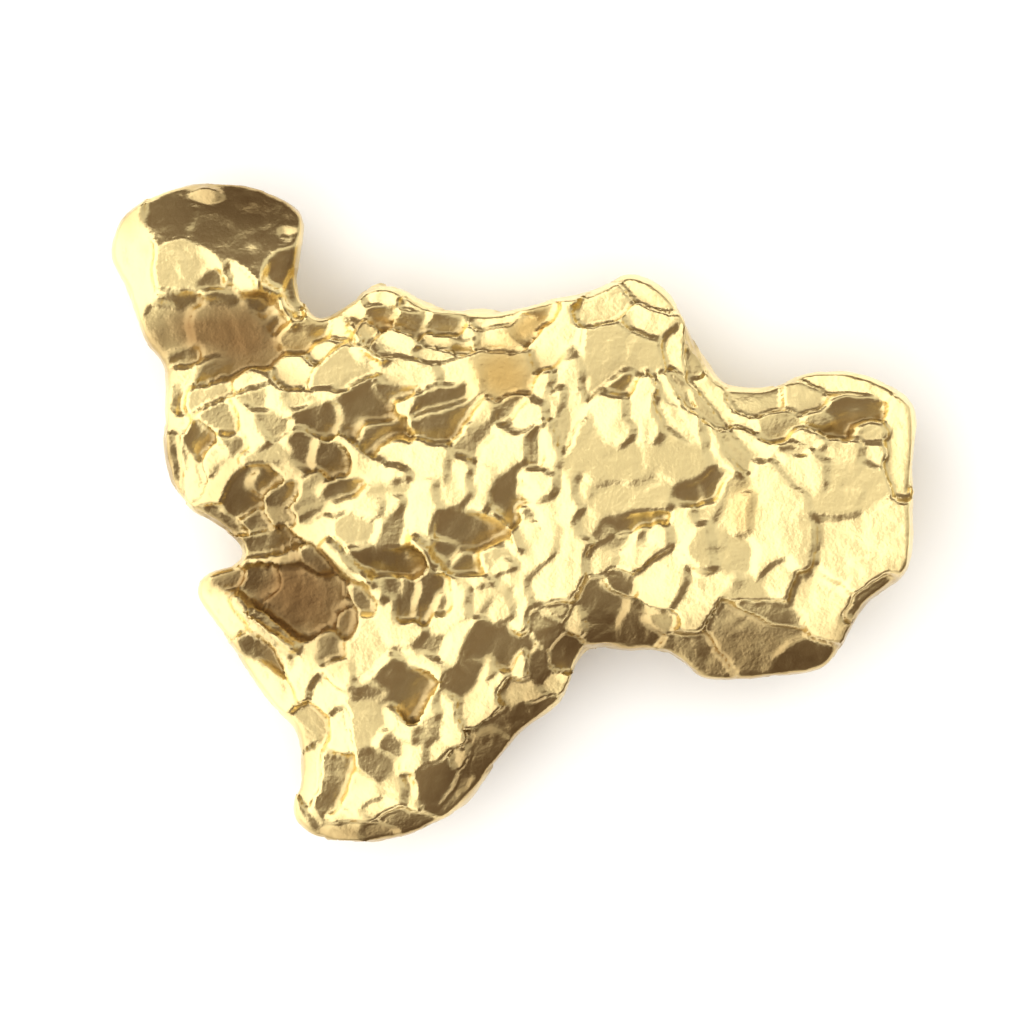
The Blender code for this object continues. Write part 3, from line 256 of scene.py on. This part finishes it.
    (-3, -1.95, 0.28, 0.28, 0, 18, 305, -0.1), (-2, -1.65, 0.35, 0.22, -30, 24, 305, -0.13),
    (-2.6, -2.25, 0.45, 0.32, 90, 24, 305, -0.22), (-2.2, -2.3, 0.4, 0.32, 90, 26, 305, -0.2),
    (-1.35, -2.2, 0.5, 0.22, 90, 10, 180, 0.1), (-1.42, -3.2, 0.5, 0.2, 62, 10, 185, 0.1),
    (-1.85, -2.7, 0.35, 0.28, 70, 8.5, 190, 0.08), (-2.4, -2.9, 0.3, 0.24, 90, 9, 190, 0.05),
    (-2.1, -3.2, 0.38, 0.24, 0, 13, 310, -0.05), (-2.7, -2.95, 0.4, 0.27, 60, 8.5, 190, 0.13),
    (0.1, -2.3, 0.62, 0.18, 90, 11, 180, 0.1), (-0.35, -2.45, 0.25, 0.25, 0, 9, 190, 0.05),
    (0.75, -2.75, 0.35, 0.28, 0, 12, 320, -0.05), (-0.75, -2.15, 0.3, 0.3, 0, 5, 180, 0),
    (-3.6, -3.1, 0.5, 0.52, 0, 3.6, 180, 0), (-2.3, -3.8, 0.6, 0.22, -30, 9, 190, 0.08),
    (-0.1, -1.65, 0.3, 0.2, 0, 5, 180, 0),
    # lower lobe
    (-2.6, -4.33, 0.72, 0.5, 90, 26, 305, -0.3), (-3.5, -4.45, 0.4, 0.15, 0, 18, 305, -0.08),
    (-3.65, -5.2, 0.52, 0.38, 90, 3, 0, 0), (-2.65, -5.28, 0.6, 0.24, -60, 8, 190, 0.15),
    (-2.15, -5.5, 0.25, 0.2, 0, 6, 310, 0), (-2.05, -4.85, 0.45, 0.28, 80, 8, 190, 0.12),
    (-1.75, -4.65, 0.25, 0.25, 0, 9, 190, 0), (-1.5, -5.3, 0.52, 0.18, -60, 11, 190, 0.1),
    (-0.4, -3.3, 0.7, 0.42, 0, 26, 305, -0.18), (-1.25, -4.15, 0.45, 0.28, 10, 26, 305, -0.17),
    (-0.95, -3.9, 0.3, 0.2, 0, 24, 305, -0.15), (-0.6, -3.85, 0.3, 0.13, 80, 4, 190, 0),
    (0.2, -3.75, 0.35, 0.17, 85, 11, 190, 0.1), (0.65, -3.85, 0.4, 0.2, 90, 17, 320, -0.08),
    (-0.65, -4.75, 0.65, 0.32, 70, 8.5, 190, 0.12), (0.35, -4.45, 0.6, 0.3, 10, 5, 190, 0.03),
    (0.95, -4.3, 0.25, 0.2, 0, 6, 190, 0), (0.1, -5.15, 0.95, 0.28, 25, 19, 300, 0),
    (-0.65, -5.8, 0.8, 0.32, 50, 17, 305, 0), (-2, -6.8, 0.55, 0.42, 30, 28, 310, 0),
    (-1.35, -6.95, 0.45, 0.22, 50, 8, 300, 0), (-3.5, -7.3, 0.4, 0.25, 0, 7, 190, 0),
    (-2.6, -7.75, 0.55, 0.24, -15, 14, 300, 0), (-3.5, -7.95, 0.45, 0.15, 0, 9, 300, 0),
    (-3.4, -6.25, 0.5, 0.32, 0, 14, 310, -0.08), (-2.95, -5.85, 0.5, 0.24, -40, 15, 310, -0.05),
    (-4.4, -6.75, 0.25, 0.32, 0, 16, 305, -0.1), (-4.35, -6.3, 0.32, 0.22, 0, 14, 305, -0.12),
    (-4.68, -7.4, 0.5, 0.22, 75, 22, 305, -0.15), (-3.75, -7, 0.55, 0.48, 90, 8, 195, 0.05),
    (-5, -6.7, 0.5, 0.15, 85, 11, 185, 0.05), (-4.4, -7.55, 0.35, 0.17, 0, 6, 200, 0),
    (-5, -7.65, 0.35, 0.25, -30, 16, 310, 0), (-4.15, -7.9, 0.45, 0.2, 0, 7, 190, 0.03),
    (-2.45, -6, 0.45, 0.28, 60, 8, 190, 0.05), (-1.9, -5.9, 0.35, 0.2, 50, 5, 190, 0.03),
    (-1.2, -6.1, 0.3, 0.18, 50, 8, 190, 0), (-2.55, -7, 0.42, 0.2, -60, 7, 180, 0),
    (-2.95, -6.85, 0.35, 0.28, 0, 5, 190, 0), (-2, -5.1, 0.3, 0.22, 0, 6, 310, 0),
]
# stains that lie in the surface: x, y, half length, half width, turn, strength
brownStains = [
    (-6.9, 4.45, 1.1, 0.85, 0, 1.0), (-8.3, 4.5, 0.8, 0.6, 0, 0.7), (-5.35, -2.1, 1.3, 1.05, -25, 1.0),
    (-7.0, -1.7, 0.6, 0.3, 0, 0.7), (-5.0, 1.6, 0.7, 0.8, 0, 0.35), (1.3, -3.2, 0.4, 0.5, 0, 0.6),
    (0.7, -3.85, 0.4, 0.5, 0, 0.6), (-7.0, 7.3, 1.8, 0.8, 0, 0.35),
]
# painted shade along parts of the outline, most along the lower right, and on spots that lie in shade: x,
# y, half length, half width, turn, strength
paintedShadeSpots = [
    (5.9, -3.6, 2.3, 1.0, -3, 1.1), (2.6, -3.0, 1.3, 0.9, 0, 1.0), (-0.45, -5.85, 2.5, 0.75, 47, 1.1),
    (-3.4, -8.1, 2.4, 0.5, 0, 1.0), (9.0, -2.4, 1.4, 0.5, 45, 1.0), (-6.6, 7.9, 2.0, 0.8, -12, 0.9),
    (-8.7, 1.2, 0.45, 1.0, 0, 0.9), (-8.9, 3.9, 0.5, 0.9, 20, 0.8), (-7.3, -0.5, 0.9, 0.4, -30, 0.8),
    (-5.3, -6.2, 0.3, 1.2, 0, 0.5), (-6.9, -3.9, 0.3, 1.0, 30, 0.5), (4.5, 4.4, 0.3, 0.8, 15, 0.6),
    (-6.3, 0.2, 1.4, 1.0, -20, 0.7), (-2.5, -2.0, 0.7, 0.8, 0, 0.5), (-4.4, -3.5, 0.5, 0.5, 0, 0.4),
    (-6.4, -3.4, 0.6, 0.3, -30, 0.6), (-3.1, -1.2, 1.0, 0.3, -8, 0.6), (-4.4, 1.0, 0.8, 0.7, 0, 0.5),
    (-5.4, 5.9, 0.3, 0.8, 0, 0.6), (-9.6, 7.4, 0.5, 0.5, 0, 0.5),
]
amberStains = [
    (-0.3, 3.4, 0.75, 0.7, 0, 1.0), (0.35, 4.6, 0.6, 0.3, 30, 0.9), (5.7, 0.1, 0.4, 0.7, 0, 0.45),
    (-3.3, 4.7, 0.9, 0.3, 0, 0.4), (-5.3, 4.4, 0.6, 0.4, 0, 0.4),
]
bellySwells = [
    # three worn feet
    (-6.3, 3.4, 1.7, 1.6, 0, -0.75), (-3.3, -4.4, 1.6, 1.7, 20, -0.65), (6.2, -0.6, 2.0, 1.9, 0, -0.65),
    # ends that rise and hollows
    (-9.0, 7.0, 1.9, 1.7, 0, 1.0), (9.4, 0.6, 1.5, 2.8, 0, 1.0), (-4.3, -7.6, 2.0, 1.5, 0, 0.9),
    (2.9, 5.2, 1.8, 1.4, 0, 0.8), (2.6, -2.7, 1.8, 1.2, 0, 0.7), (-8.5, 1.6, 1.2, 1.6, 0, 0.7),
    (-2.0, 1.6, 1.6, 1.3, 20, 0.5), (2.4, 1.9, 1.5, 1.9, -25, 0.6), (-1.2, -2.3, 1.7, 0.9, 30, 0.5),
    (-6.2, -2.2, 1.4, 1.2, 40, 0.7), (-3.0, 4.3, 1.8, 1.0, 0, 0.6),
]


def smoothOutline(points, steps):  # closed Catmull-Rom curve
    p = np.array(points)
    before, after, beyond = np.roll(p, 1, 0), np.roll(p, -1, 0), np.roll(p, -2, 0)
    parts = []
    for t in np.arange(steps) / steps:
        parts.append(0.5 * (2 * p + (after - before) * t
                            + (2 * before - 5 * p + 4 * after - beyond) * t ** 2
                            + (3 * p - before - 3 * after + beyond) * t ** 3))
    return np.stack(parts, axis=1).reshape(-1, p.shape[1])


def grownOutline(curve, by):  # a clockwise curve pushed outward
    way = np.roll(curve[:, :2], -1, 0) - np.roll(curve[:, :2], 1, 0)
    way /= np.hypot(way[:, 0], way[:, 1])[:, None]
    grown = curve.copy()
    grown[:, :2] += by * np.stack([-way[:, 1], way[:, 0]], axis=1)
    return grown


def makePlate(outline, middle, halfThickness):  # flat, with the outline's shape
    bm = bmesh.new()
    rim = [bm.verts.new((x, y, middle - halfThickness)) for x, y, _ in outline]
    made = bmesh.ops.extrude_face_region(bm, geom=[bm.faces.new(rim)])
    lifted = [v for v in made["geom"] if isinstance(v, bmesh.types.BMVert)]
    bmesh.ops.translate(bm, verts=lifted, vec=(0, 0, 2 * halfThickness))
    bmesh.ops.recalc_face_normals(bm, faces=bm.faces)
    mesh = bpy.data.meshes.new("plate")
    bm.to_mesh(mesh)
    bm.free()
    return mesh


def addObject(name, data):
    obj = bpy.data.objects.new(name, data)
    bpy.context.collection.objects.link(obj)
    return obj


def withModifier(mesh, kind, **settings):  # the mesh as one modifier leaves it
    obj = addObject("workpiece", mesh)
    modifier = obj.modifiers.new(kind.lower(), kind)
    for name, value in settings.items():
        setattr(modifier, name, value)
    graph = bpy.context.evaluated_depsgraph_get()
    made = bpy.data.meshes.new_from_object(obj.evaluated_get(graph))
    bpy.data.objects.remove(obj)
    return made


def pointsOf(mesh):
    points = np.empty(len(mesh.vertices) * 3, np.float32)
    mesh.vertices.foreach_get("co", points)
    return points.reshape(-1, 3).astype(float)


def setPoints(mesh, points):
    mesh.vertices.foreach_set("co", points.astype(np.float32).ravel())
    mesh.update()


def distanceToLine(xy, line):  # how far off the line each place is, and where along the line
    best = np.full(len(xy), np.inf)
    place = np.zeros(len(xy))
    for i, (start, end) in enumerate(zip(line[:-1], line[1:])):
        way = end - start
        t = np.clip((xy - start) @ way / (way @ way), 0, 1)
        gap = xy - start - t[:, None] * way
        away = np.einsum("ij,ij->i", gap, gap)
        nearer = away < best
        best[nearer] = away[nearer]
        place[nearer] = i + t[nearer]
    return np.sqrt(best), place


def edgeProfile(inward, radius):  # a quarter round, from 0 to 1
    return np.sqrt(1 - (1 - np.clip(inward / radius, 0, 1)) ** 2)


def localFrame(xy, x, y, turn):  # along and across a turned feature
    a = math.radians(turn)
    offset = xy - (x, y)
    return offset @ (math.cos(a), math.sin(a)), offset @ (-math.sin(a), math.cos(a))


def wandered(xy):  # places shifted a little, so that facets, stains and painted shade spots get uneven outlines
    noise.seed_set(nuggetForm["wanderSeed"])
    shifted = xy.copy()
    for size, reach in nuggetForm["wander"]:
        shifted += [reach * noise.noise_vector((x / size, y / size, size)).xy for x, y in xy]
    return shifted


def spotRise(xy, features, sharpness):  # oval rises, added up
    rise = np.zeros(len(xy))
    for x, y, length, width, turn, height in features:
        along, across = localFrame(xy, x, y, turn)
        rise += height * np.exp(-np.hypot(along / length, across / width) ** sharpness)
    return rise


def ridgeRise(xy, features):  # rises along crest lines
    rise = np.zeros(len(xy))
    for halfWidth, height, crest in features:
        away, _ = distanceToLine(xy, np.array(crest, float))
        rise += height * np.exp(-((away / halfWidth) ** 2))
    return rise


def plainCrown(xy, inward):  # the top without its facets
    form = nuggetForm
    climb = 1 - (1 - np.clip(inward / form["domeReach"], 0, 1)) ** 2
    dome = form["rimRise"] + (form["crownRise"] - form["rimRise"]) * climb
    return dome + spotRise(xy, crownSwells, form["swellSharpness"])


def facetShares(xy, plain):  # how far each facet counts at each place, and the rise of its plane there
    sharp = nuggetForm["facetSharpness"]
    weights, rises = [], []
    for x, y, length, width, turn, lean, side, _ in crownFacets:
        along, across = localFrame(xy, x, y, turn)
        down, _ = localFrame(xy, x, y, side)
        weights.append(np.exp(-sharp * ((along / length) ** 2 + (across / width) ** 2)))
        rises.append(-math.tan(math.radians(lean)) * down)
    weights, rises = np.array(weights), np.array(rises)
    ground = math.exp(-sharp * nuggetForm["plainGround"] ** 2)
    total = ground + weights.sum(0)
    shares = weights / total
    return shares, rises, ground / total * plain + (shares * rises).sum(0)


def settledHeights(xy, plain, wanted):  # heights at which the facets best meet their neighbours
    shares, rises, mean = facetShares(xy, plain)
    size = shares.sum(1)
    hold = nuggetForm["facetHold"] * size
    meeting = (shares * (mean - rises)).sum(1)
    return np.linalg.solve(np.diag(size + hold) - shares @ shares.T, meeting + hold * wanted)


def facetedCrown(xy, plain, heights):  # facet planes and ridges, as heights above the equator
    crown = np.empty(len(xy))
    blocks = 1 + len(xy) // nuggetForm["blockSize"]
    for block in np.array_split(np.arange(len(xy)), blocks):
        shares, _, mean = facetShares(xy[block], plain[block])
        crown[block] = mean + heights @ shares
    return crown + ridgeRise(xy, crownRidges)


def cutSpikes(mesh, relief):  # lowers what stands up thin and alone, and leaves the ridges
    form = nuggetForm
    ends = np.empty(len(mesh.edges) * 2, np.int32)
    mesh.edges.foreach_get("vertices", ends)
    one, other = ends.reshape(-1, 2).T
    opened = relief.copy()
    for spread in [np.minimum] * form["spikeRings"] + [np.maximum] * form["spikeRings"]:
        before = opened.copy()
        spread.at(opened, one, before[other])
        spread.at(opened, other, before[one])
    return np.minimum(relief, opened + form["spikeRoom"])


def hackledHeight(points):  # rounded lumps with creases between, and a tilt of their own
    form = nuggetForm
    height = np.full(len(points), form["hackleLift"])
    for size, bulge, tilt in form["hackles"]:
        for i, point in enumerate(points):
            place = Vector(point) / size
            middle = noise.voronoi(place)[1][0]
            out = place - middle
            tilted = tilt * out.dot(noise.cell_vector(middle * form["hackleMix"]))
            height[i] += size * (tilted - bulge * out.length_squared)
    return height


def puffPlate(outline, place):  # the nugget's swells, without facets and lumps
    form = nuggetForm
    mesh = makePlate(outline, form["equator"], form["plateVoxel"])
    mesh = withModifier(mesh, "REMESH", mode="VOXEL", voxel_size=form["plateVoxel"])
    points = pointsOf(mesh)
    xy = points[:, :2]
    inward, edge = place(xy)
    up = edgeProfile(inward, edge) * plainCrown(xy, inward)
    belly = spotRise(xy, bellySwells, form["swellSharpness"]) - form["bellyDrop"]
    down = edgeProfile(inward, form["bellyEdge"]) * belly
    points[:, 2] = form["equator"] + np.where(points[:, 2] > form["equator"], up, down)
    setPoints(mesh, points)
    print("nugget: plate puffed,", len(points), "points")
    return mesh


def facetHeights(xy, plain, place):
    middles = np.array([facet[:2] for facet in crownFacets])
    lifts = [facet[-1] for facet in crownFacets]
    wanted = plainCrown(middles, place(middles)[0]) + lifts
    order = np.lexsort(xy.T)  # sorted by place, so that each run settles on the same points
    sample = order[::nuggetForm["settlingStep"]]
    return settledHeights(xy[sample], plain[sample], wanted)


def pushLumps(mesh, points, inward):
    form = nuggetForm
    normals = np.empty(len(points) * 3, np.float32)
    mesh.vertices.foreach_get("normal", normals)
    normals = normals.reshape(-1, 3)
    steep = np.clip((form["steepNormal"] - normals[:, 2]) / form["steepRange"], 0, 1)
    belowShoulder = form["equator"] + form["rimRise"] - points[:, 2]
    sideShare = np.clip(belowShoulder / form["sideWidth"], form["sideLeast"], 1)
    onSide = inward < form["sideWidth"]
    rough = steep * np.where(onSide, sideShare, form["crownHackles"])
    points += normals * (rough * (hackledHeight(points) - form["sideDrop"] * onSide))[:, None]
    points[:, 2] = np.maximum(points[:, 2], 0)
    setPoints(mesh, points)


def storeValues(mesh, name, values):  # from 0 to 1, for the material
    kept = np.clip(values, 0, 1).astype(np.float32)
    mesh.attributes.new(name, "FLOAT", "POINT").data.foreach_set("value", kept)


def shapeNugget():
    form = nuggetForm
    outline = grownOutline(smoothOutline(outlinePoints, form["outlineSteps"]), form["outlineGrowth"])
    closed = np.vstack([outline, outline[:1]])

    def place(xy):  # how far in from the outline, and the rounding of the top edge there
        inward, along = distanceToLine(xy, closed[:, :2])
        return inward, np.interp(along, np.arange(len(closed)), closed[:, 2])

    mesh = puffPlate(outline, place)
    mesh = withModifier(mesh, "REMESH", mode="VOXEL", voxel_size=form["bodyVoxel"])
    mesh = withModifier(mesh, "SMOOTH", iterations=form["smoothing"])
    points = pointsOf(mesh)
    xy = points[:, :2].copy()
    inward, edge = place(xy)
    onTop = points[:, 2] > form["equator"]
    plain = plainCrown(xy, inward)
    heights = facetHeights(xy[onTop], plain[onTop], place)
    uneven = wandered(xy)
    relief = edgeProfile(inward, edge) * (facetedCrown(uneven, plain, heights) - plain)
    relief = cutSpikes(mesh, relief)
    points[:, 2] += np.where(onTop, relief, 0)
    setPoints(mesh, points)
    print("nugget: crown facets pressed in,", len(points), "points,", len(mesh.polygons), "faces")

    pushLumps(mesh, points, inward)
    # recess: how far the top sinks below its plain form, which darkens it with patina and painted shade
    storeValues(mesh, "recess", (-relief - form["hollowStart"]) / form["hollowDepth"] * onTop)
    # painted shade laid on as colour along parts of the outline and on shaded spots
    storeValues(mesh, "paintedShadeSpots", spotRise(uneven, paintedShadeSpots, form["stainAndShadeSharpness"]))
    storeValues(mesh, "brown", spotRise(uneven, brownStains, form["stainAndShadeSharpness"]))
    storeValues(mesh, "amber", spotRise(uneven, amberStains, form["stainAndShadeSharpness"]))
    print("nugget: lumps pushed out and stains laid on")
    return mesh


class Wire:  # one shader socket; maths on it adds Math nodes
    def __init__(self, recipe, socket):
        self.recipe, self.socket = recipe, socket

    def maths(self, operation, *values):
        return self.recipe.node("ShaderNodeMath", {"operation": operation}, dict(enumerate(values)))

    def __add__(self, other):
        return self.maths("ADD", self, other)

    def __radd__(self, other):
        return self.maths("ADD", other, self)

    def __sub__(self, other):
        return self.maths("SUBTRACT", self, other)

    def __rsub__(self, other):
        return self.maths("SUBTRACT", other, self)

    def __mul__(self, other):
        return self.maths("MULTIPLY", self, other)

    def __rmul__(self, other):
        return self.maths("MULTIPLY", other, self)

    def __truediv__(self, other):
        return self.maths("DIVIDE", self, other)

    def __rtruediv__(self, other):
        return self.maths("DIVIDE", other, self)

    def clamp(self):
        return self.recipe.node("ShaderNodeClamp", {}, {0: self})


class Recipe:  # a node tree under construction
    def __init__(self, tree):
        self.tree = tree
        tree.nodes.clear()

    def node(self, kind, settings, inputs, output=0):  # gives the wanted output, if there is one
        made = self.tree.nodes.new(kind)
        for name, value in settings.items():
            setattr(made, name, value)
        for key, value in inputs.items():
            if isinstance(value, Wire):
                self.tree.links.new(value.socket, made.inputs[key])
            else:
                made.inputs[key].default_value = value
        return Wire(self, made.outputs[output]) if len(made.outputs) else made

    def blend(self, amount, first, second):  # colours
        return self.node("ShaderNodeMix", {"data_type": "RGBA"}, {0: amount, 6: first, 7: second}, 2)


weathering = {
    "Grain Size": 0.32,
    "Grain Height": 0.02,
    "Grain Detail": 3.0,
    "Crystal Size": 0.42,  # small flats at odd angles
    "Crystal Tilt": 0.06,
    "Seed": 4.0,
}


def weatheringTree():
    tree = bpy.data.node_groups.new("weathering", "GeometryNodeTree")
    face = tree.interface
    face.new_socket("Geometry", in_out="INPUT", socket_type="NodeSocketGeometry")
    for name in weathering:
        face.new_socket(name, in_out="INPUT", socket_type="NodeSocketFloat")
    face.new_socket("Metal", in_out="INPUT", socket_type="NodeSocketMaterial")
    face.new_socket("Geometry", in_out="OUTPUT", socket_type="NodeSocketGeometry")
    r = Recipe(tree)
    given = tree.nodes.new("NodeGroupInput")

    def asked(name):
        return Wire(r, given.outputs[name])

    place = r.node("GeometryNodeInputPosition", {}, {})
    normal = r.node("GeometryNodeInputNormal", {}, {})
    ripple = r.node("ShaderNodeTexNoise", {"noise_dimensions": "4D"}, {
        "Vector": place, "W": asked("Seed"),
        "Scale": 1 / asked("Grain Size"), "Detail": asked("Grain Detail")})
    cell = {"Vector": place, "Scale": 1 / asked("Crystal Size")}
    middle = r.node("ShaderNodeTexVoronoi", {}, cell, "Position")
    chance = r.node("ShaderNodeTexVoronoi", {}, cell, "Color")
    fromMiddle = r.node("ShaderNodeVectorMath", {"operation": "SUBTRACT"}, {0: place, 1: middle})
    tilt = r.node("ShaderNodeVectorMath", {"operation": "SUBTRACT"}, {0: chance, 1: (0.5, 0.5, 0.5)})
    crystals = r.node("ShaderNodeVectorMath", {"operation": "DOT_PRODUCT"},
                      {0: fromMiddle, 1: tilt}, "Value")
    # both even out to nothing over the surface
    height = (ripple - 0.5) * asked("Grain Height") + crystals * asked("Crystal Tilt")
    push = r.node("ShaderNodeVectorMath", {"operation": "SCALE"}, {0: normal, "Scale": height})
    moved = r.node("GeometryNodeSetPosition", {}, {"Geometry": asked("Geometry"), "Offset": push})
    whole = r.node("GeometryNodeRealizeInstances", {}, {0: moved})
    clad = r.node("GeometryNodeSetMaterial", {}, {"Geometry": whole, "Material": asked("Metal")})
    r.node("NodeGroupOutput", {}, {0: clad})
    return tree


def weather(mesh, metal):  # the mesh with its fine relief, as a plain mesh
    obj = addObject("weatheredPiece", mesh)
    modifier = obj.modifiers.new("weathering", "NODES")
    modifier.node_group = weatheringTree()
    for item in modifier.node_group.interface.items_tree:
        if item.in_out == "INPUT" and item.name in weathering:
            modifier[item.identifier] = weathering[item.name]
        if item.name == "Metal":
            modifier[item.identifier] = metal
    graph = bpy.context.evaluated_depsgraph_get()
    made = bpy.data.meshes.new_from_object(obj.evaluated_get(graph))
    bpy.data.objects.remove(obj)
    print("nugget: weathered,", len(made.vertices), "points")
    return made


nativeGold = {
    "bright": (0.98, 0.80, 0.40, 1),
    "patinaAndShadeColour": (0.46, 0.33, 0.15, 1),  # patina of old metal and painted shade, in the hollows and on the painted shade spots
    "brown": (0.27, 0.15, 0.055, 1),  # iron stain
    "amber": (0.82, 0.52, 0.16, 1),
    "brownStrength": 0.9,
    "amberStrength": 0.8,
    "roughness": 0.28,
    "hollowRoughness": 0.38,
    "hollowDulling": 0.1,  # how much less metallic a hollow is
    "mottle": 1.2,  # unevenness of the patina and painted shade in the hollows
    "mottleSize": 0.35,  # mm
    "paintedShadeMottle": 0.6,  # share of it in the painted shade spots
    "noiseDetail": 3.0,
    "grain": 0.25,  # strength of the finest relief
    "grainSize": 0.09,  # mm
    "grainDepth": 0.045,  # mm
}


def goldMaterial():
    material = bpy.data.materials.new("nativeGold")
    material.use_nodes = True
    r = Recipe(material.node_tree)
    gold = nativeGold
    place = r.node("ShaderNodeTexCoord", {}, {}, "Object")

    def stored(name):
        return r.node("ShaderNodeAttribute", {"attribute_name": name}, {}, "Fac")

    def noiseOf(size):
        return r.node("ShaderNodeTexNoise", {}, {
            "Vector": place, "Scale": 1 / (size * mm), "Detail": gold["noiseDetail"]})

    mottled = noiseOf(gold["mottleSize"]) * gold["mottle"] - gold["mottle"] / 2
    # hollows darken with patina and with painted shade, the deeper the more
    hollowPatinaAndShade = (stored("recess") + mottled * stored("recess")).clamp()
    # painted shade along parts of the outline and on shaded spots, mottled
    paintedShade = (stored("paintedShadeSpots") + mottled * gold["paintedShadeMottle"] * stored("paintedShadeSpots")).clamp()
    # patina and painted shade together
    patinaAndPaintedShade = 1 - (1 - hollowPatinaAndShade) * (1 - paintedShade)
    colour = r.blend(patinaAndPaintedShade, gold["bright"], gold["patinaAndShadeColour"])
    colour = r.blend(stored("amber") * gold["amberStrength"], colour, gold["amber"])
    colour = r.blend(stored("brown") * gold["brownStrength"], colour, gold["brown"])
    roughness = gold["roughness"] + (gold["hollowRoughness"] - gold["roughness"]) * hollowPatinaAndShade
    bump = r.node("ShaderNodeBump", {}, {
        "Strength": gold["grain"], "Distance": gold["grainDepth"] * mm,
        "Height": noiseOf(gold["grainSize"])})
    shader = r.node("ShaderNodeBsdfPrincipled", {}, {
        "Base Color": colour, "Metallic": 1 - gold["hollowDulling"] * hollowPatinaAndShade,
        "Roughness": roughness, "Normal": bump})
    r.node("ShaderNodeOutputMaterial", {}, {"Surface": shader})
    print("gold: material mixed")
    return material


# sizes in metres
studio = {
    "tent": (0.52, 0.50, 0.46),
    # azimuth, elevation and half spread in degrees, softness, light
    "patches": [
        (20, 50, 40, 0.4, (0.82, 0.80, 0.74)), (250, 35, 30, 0.4, (0.9, 0.88, 0.82)),
        (180, 42, 56, 0.55, (1.8, 1.75, 1.65)), (92, 24, 34, 0.4, (0.17, 0.12, 0.09)),
        (308, 34, 38, 0.4, (0.19, 0.135, 0.10)), (0, 90, 12.5, 0.4, (0.65, 0.61, 0.515)),
    ],
    "softInside": 0.7,  # how far a patch's softness reaches inside its edge
    "softOutside": 0.5,
    "floorRadius": 3.0,
    "floorDrop": 0.00002,  # keeps the floor off the flats that the nugget stands on
    "floorColour": 0.9,
    "floorRoughness": 0.9,
    "floorShine": 0.1,
    "panelPower": 11.0,  # large lamp that lights the table only
    "panelSize": 1.2,
    "panelHeight": 1.2,
}


def direction(azimuth, elevation):
    a, e = math.radians(azimuth), math.radians(elevation)
    return Vector((math.cos(a) * math.cos(e), math.sin(a) * math.cos(e), math.sin(e)))


def makeWorld():
    world = bpy.data.worlds.new("lightTent")
    bpy.context.scene.world = world
    world.use_nodes = True
    r = Recipe(world.node_tree)
    view = r.node("ShaderNodeTexCoord", {}, {}, "Generated")

    def patch(azimuth, elevation, spread, softness):  # 1 in the middle of the patch, 0 outside
        facing = r.node("ShaderNodeVectorMath", {"operation": "DOT_PRODUCT"},
                        {0: view, 1: direction(azimuth, elevation)}, "Value")
        inner = math.cos(math.radians(spread * (1 - softness * studio["softInside"])))
        outer = math.cos(math.radians(spread * (1 + softness * studio["softOutside"])))
        return r.node("ShaderNodeMapRange", {"interpolation_type": "SMOOTHSTEP"},
                      {"Value": facing, "From Min": outer, "From Max": inner})

    light = (*studio["tent"], 1)
    for azimuth, elevation, spread, softness, tone in studio["patches"]:
        light = r.blend(patch(azimuth, elevation, spread, softness), light, (*tone, 1))
    background = r.node("ShaderNodeBackground", {}, {"Color": light})
    r.node("ShaderNodeOutputWorld", {}, {"Surface": background})


def makeFloor():
    bm = bmesh.new()
    bmesh.ops.create_circle(bm, cap_ends=True, segments=64, radius=studio["floorRadius"])
    mesh = bpy.data.meshes.new("floor")
    bm.to_mesh(mesh)
    bm.free()
    floor = addObject("floor", mesh)
    floor.location.z = -studio["floorDrop"]
    material = bpy.data.materials.new("palePaper")
    material.use_nodes = True
    r = Recipe(material.node_tree)
    tone = studio["floorColour"]
    shader = r.node("ShaderNodeBsdfPrincipled", {}, {
        "Base Color": (tone, tone, tone, 1), "Roughness": studio["floorRoughness"],
        "Specular IOR Level": studio["floorShine"]})
    r.node("ShaderNodeOutputMaterial", {}, {"Surface": shader})
    mesh.materials.append(material)


def makePanel():  # lights the table without showing in the metal
    data = bpy.data.lights.new("panel", "AREA")
    data.size = studio["panelSize"]
    data.energy = studio["panelPower"]
    panel = addObject("panel", data)
    panel.location.z = studio["panelHeight"]
    panel.visible_glossy = False
    panel.visible_camera = False


viewpoint = {
    "frameSide": 1024,  # pixels
    "originPixel": (513, 512),  # where the nugget's origin stands, from the top left corner
    "pixelsPerMm": 40.0,
    "lens": 250,
    "sensorWidth": 36,
    "clipStart": 0.01,
    "clipEnd": 10,
}


def makeCamera():  # straight above the nugget
    view = viewpoint
    data = bpy.data.cameras.new("camera")
    data.lens = view["lens"]
    data.sensor_width = view["sensorWidth"]
    data.clip_start = view["clipStart"]
    data.clip_end = view["clipEnd"]
    camera = addObject("camera", data)
    bpy.context.scene.camera = camera
    pixel = mm / view["pixelsPerMm"]
    originX, originY = view["originPixel"]
    camera.location.x = (view["frameSide"] / 2 - originX) * pixel
    camera.location.y = (originY - view["frameSide"] / 2) * pixel
    above = view["frameSide"] * pixel * view["lens"] / view["sensorWidth"]
    camera.location.z = nuggetForm["equator"] * mm + above


nuggetMesh = weather(shapeNugget(), goldMaterial())
nuggetMesh.transform(Matrix.Scale(mm, 4))
nuggetMesh.shade_smooth()
nugget = addObject("nuggetSurface", nuggetMesh)
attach(nugget, "root")
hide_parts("nugget")
print("nugget: put in place of its solid")

makeWorld()
makeFloor()
makePanel()
makeCamera()
bpy.context.scene.view_settings.view_transform = "Standard"
print("studio: tent, floor, panel and camera set up")
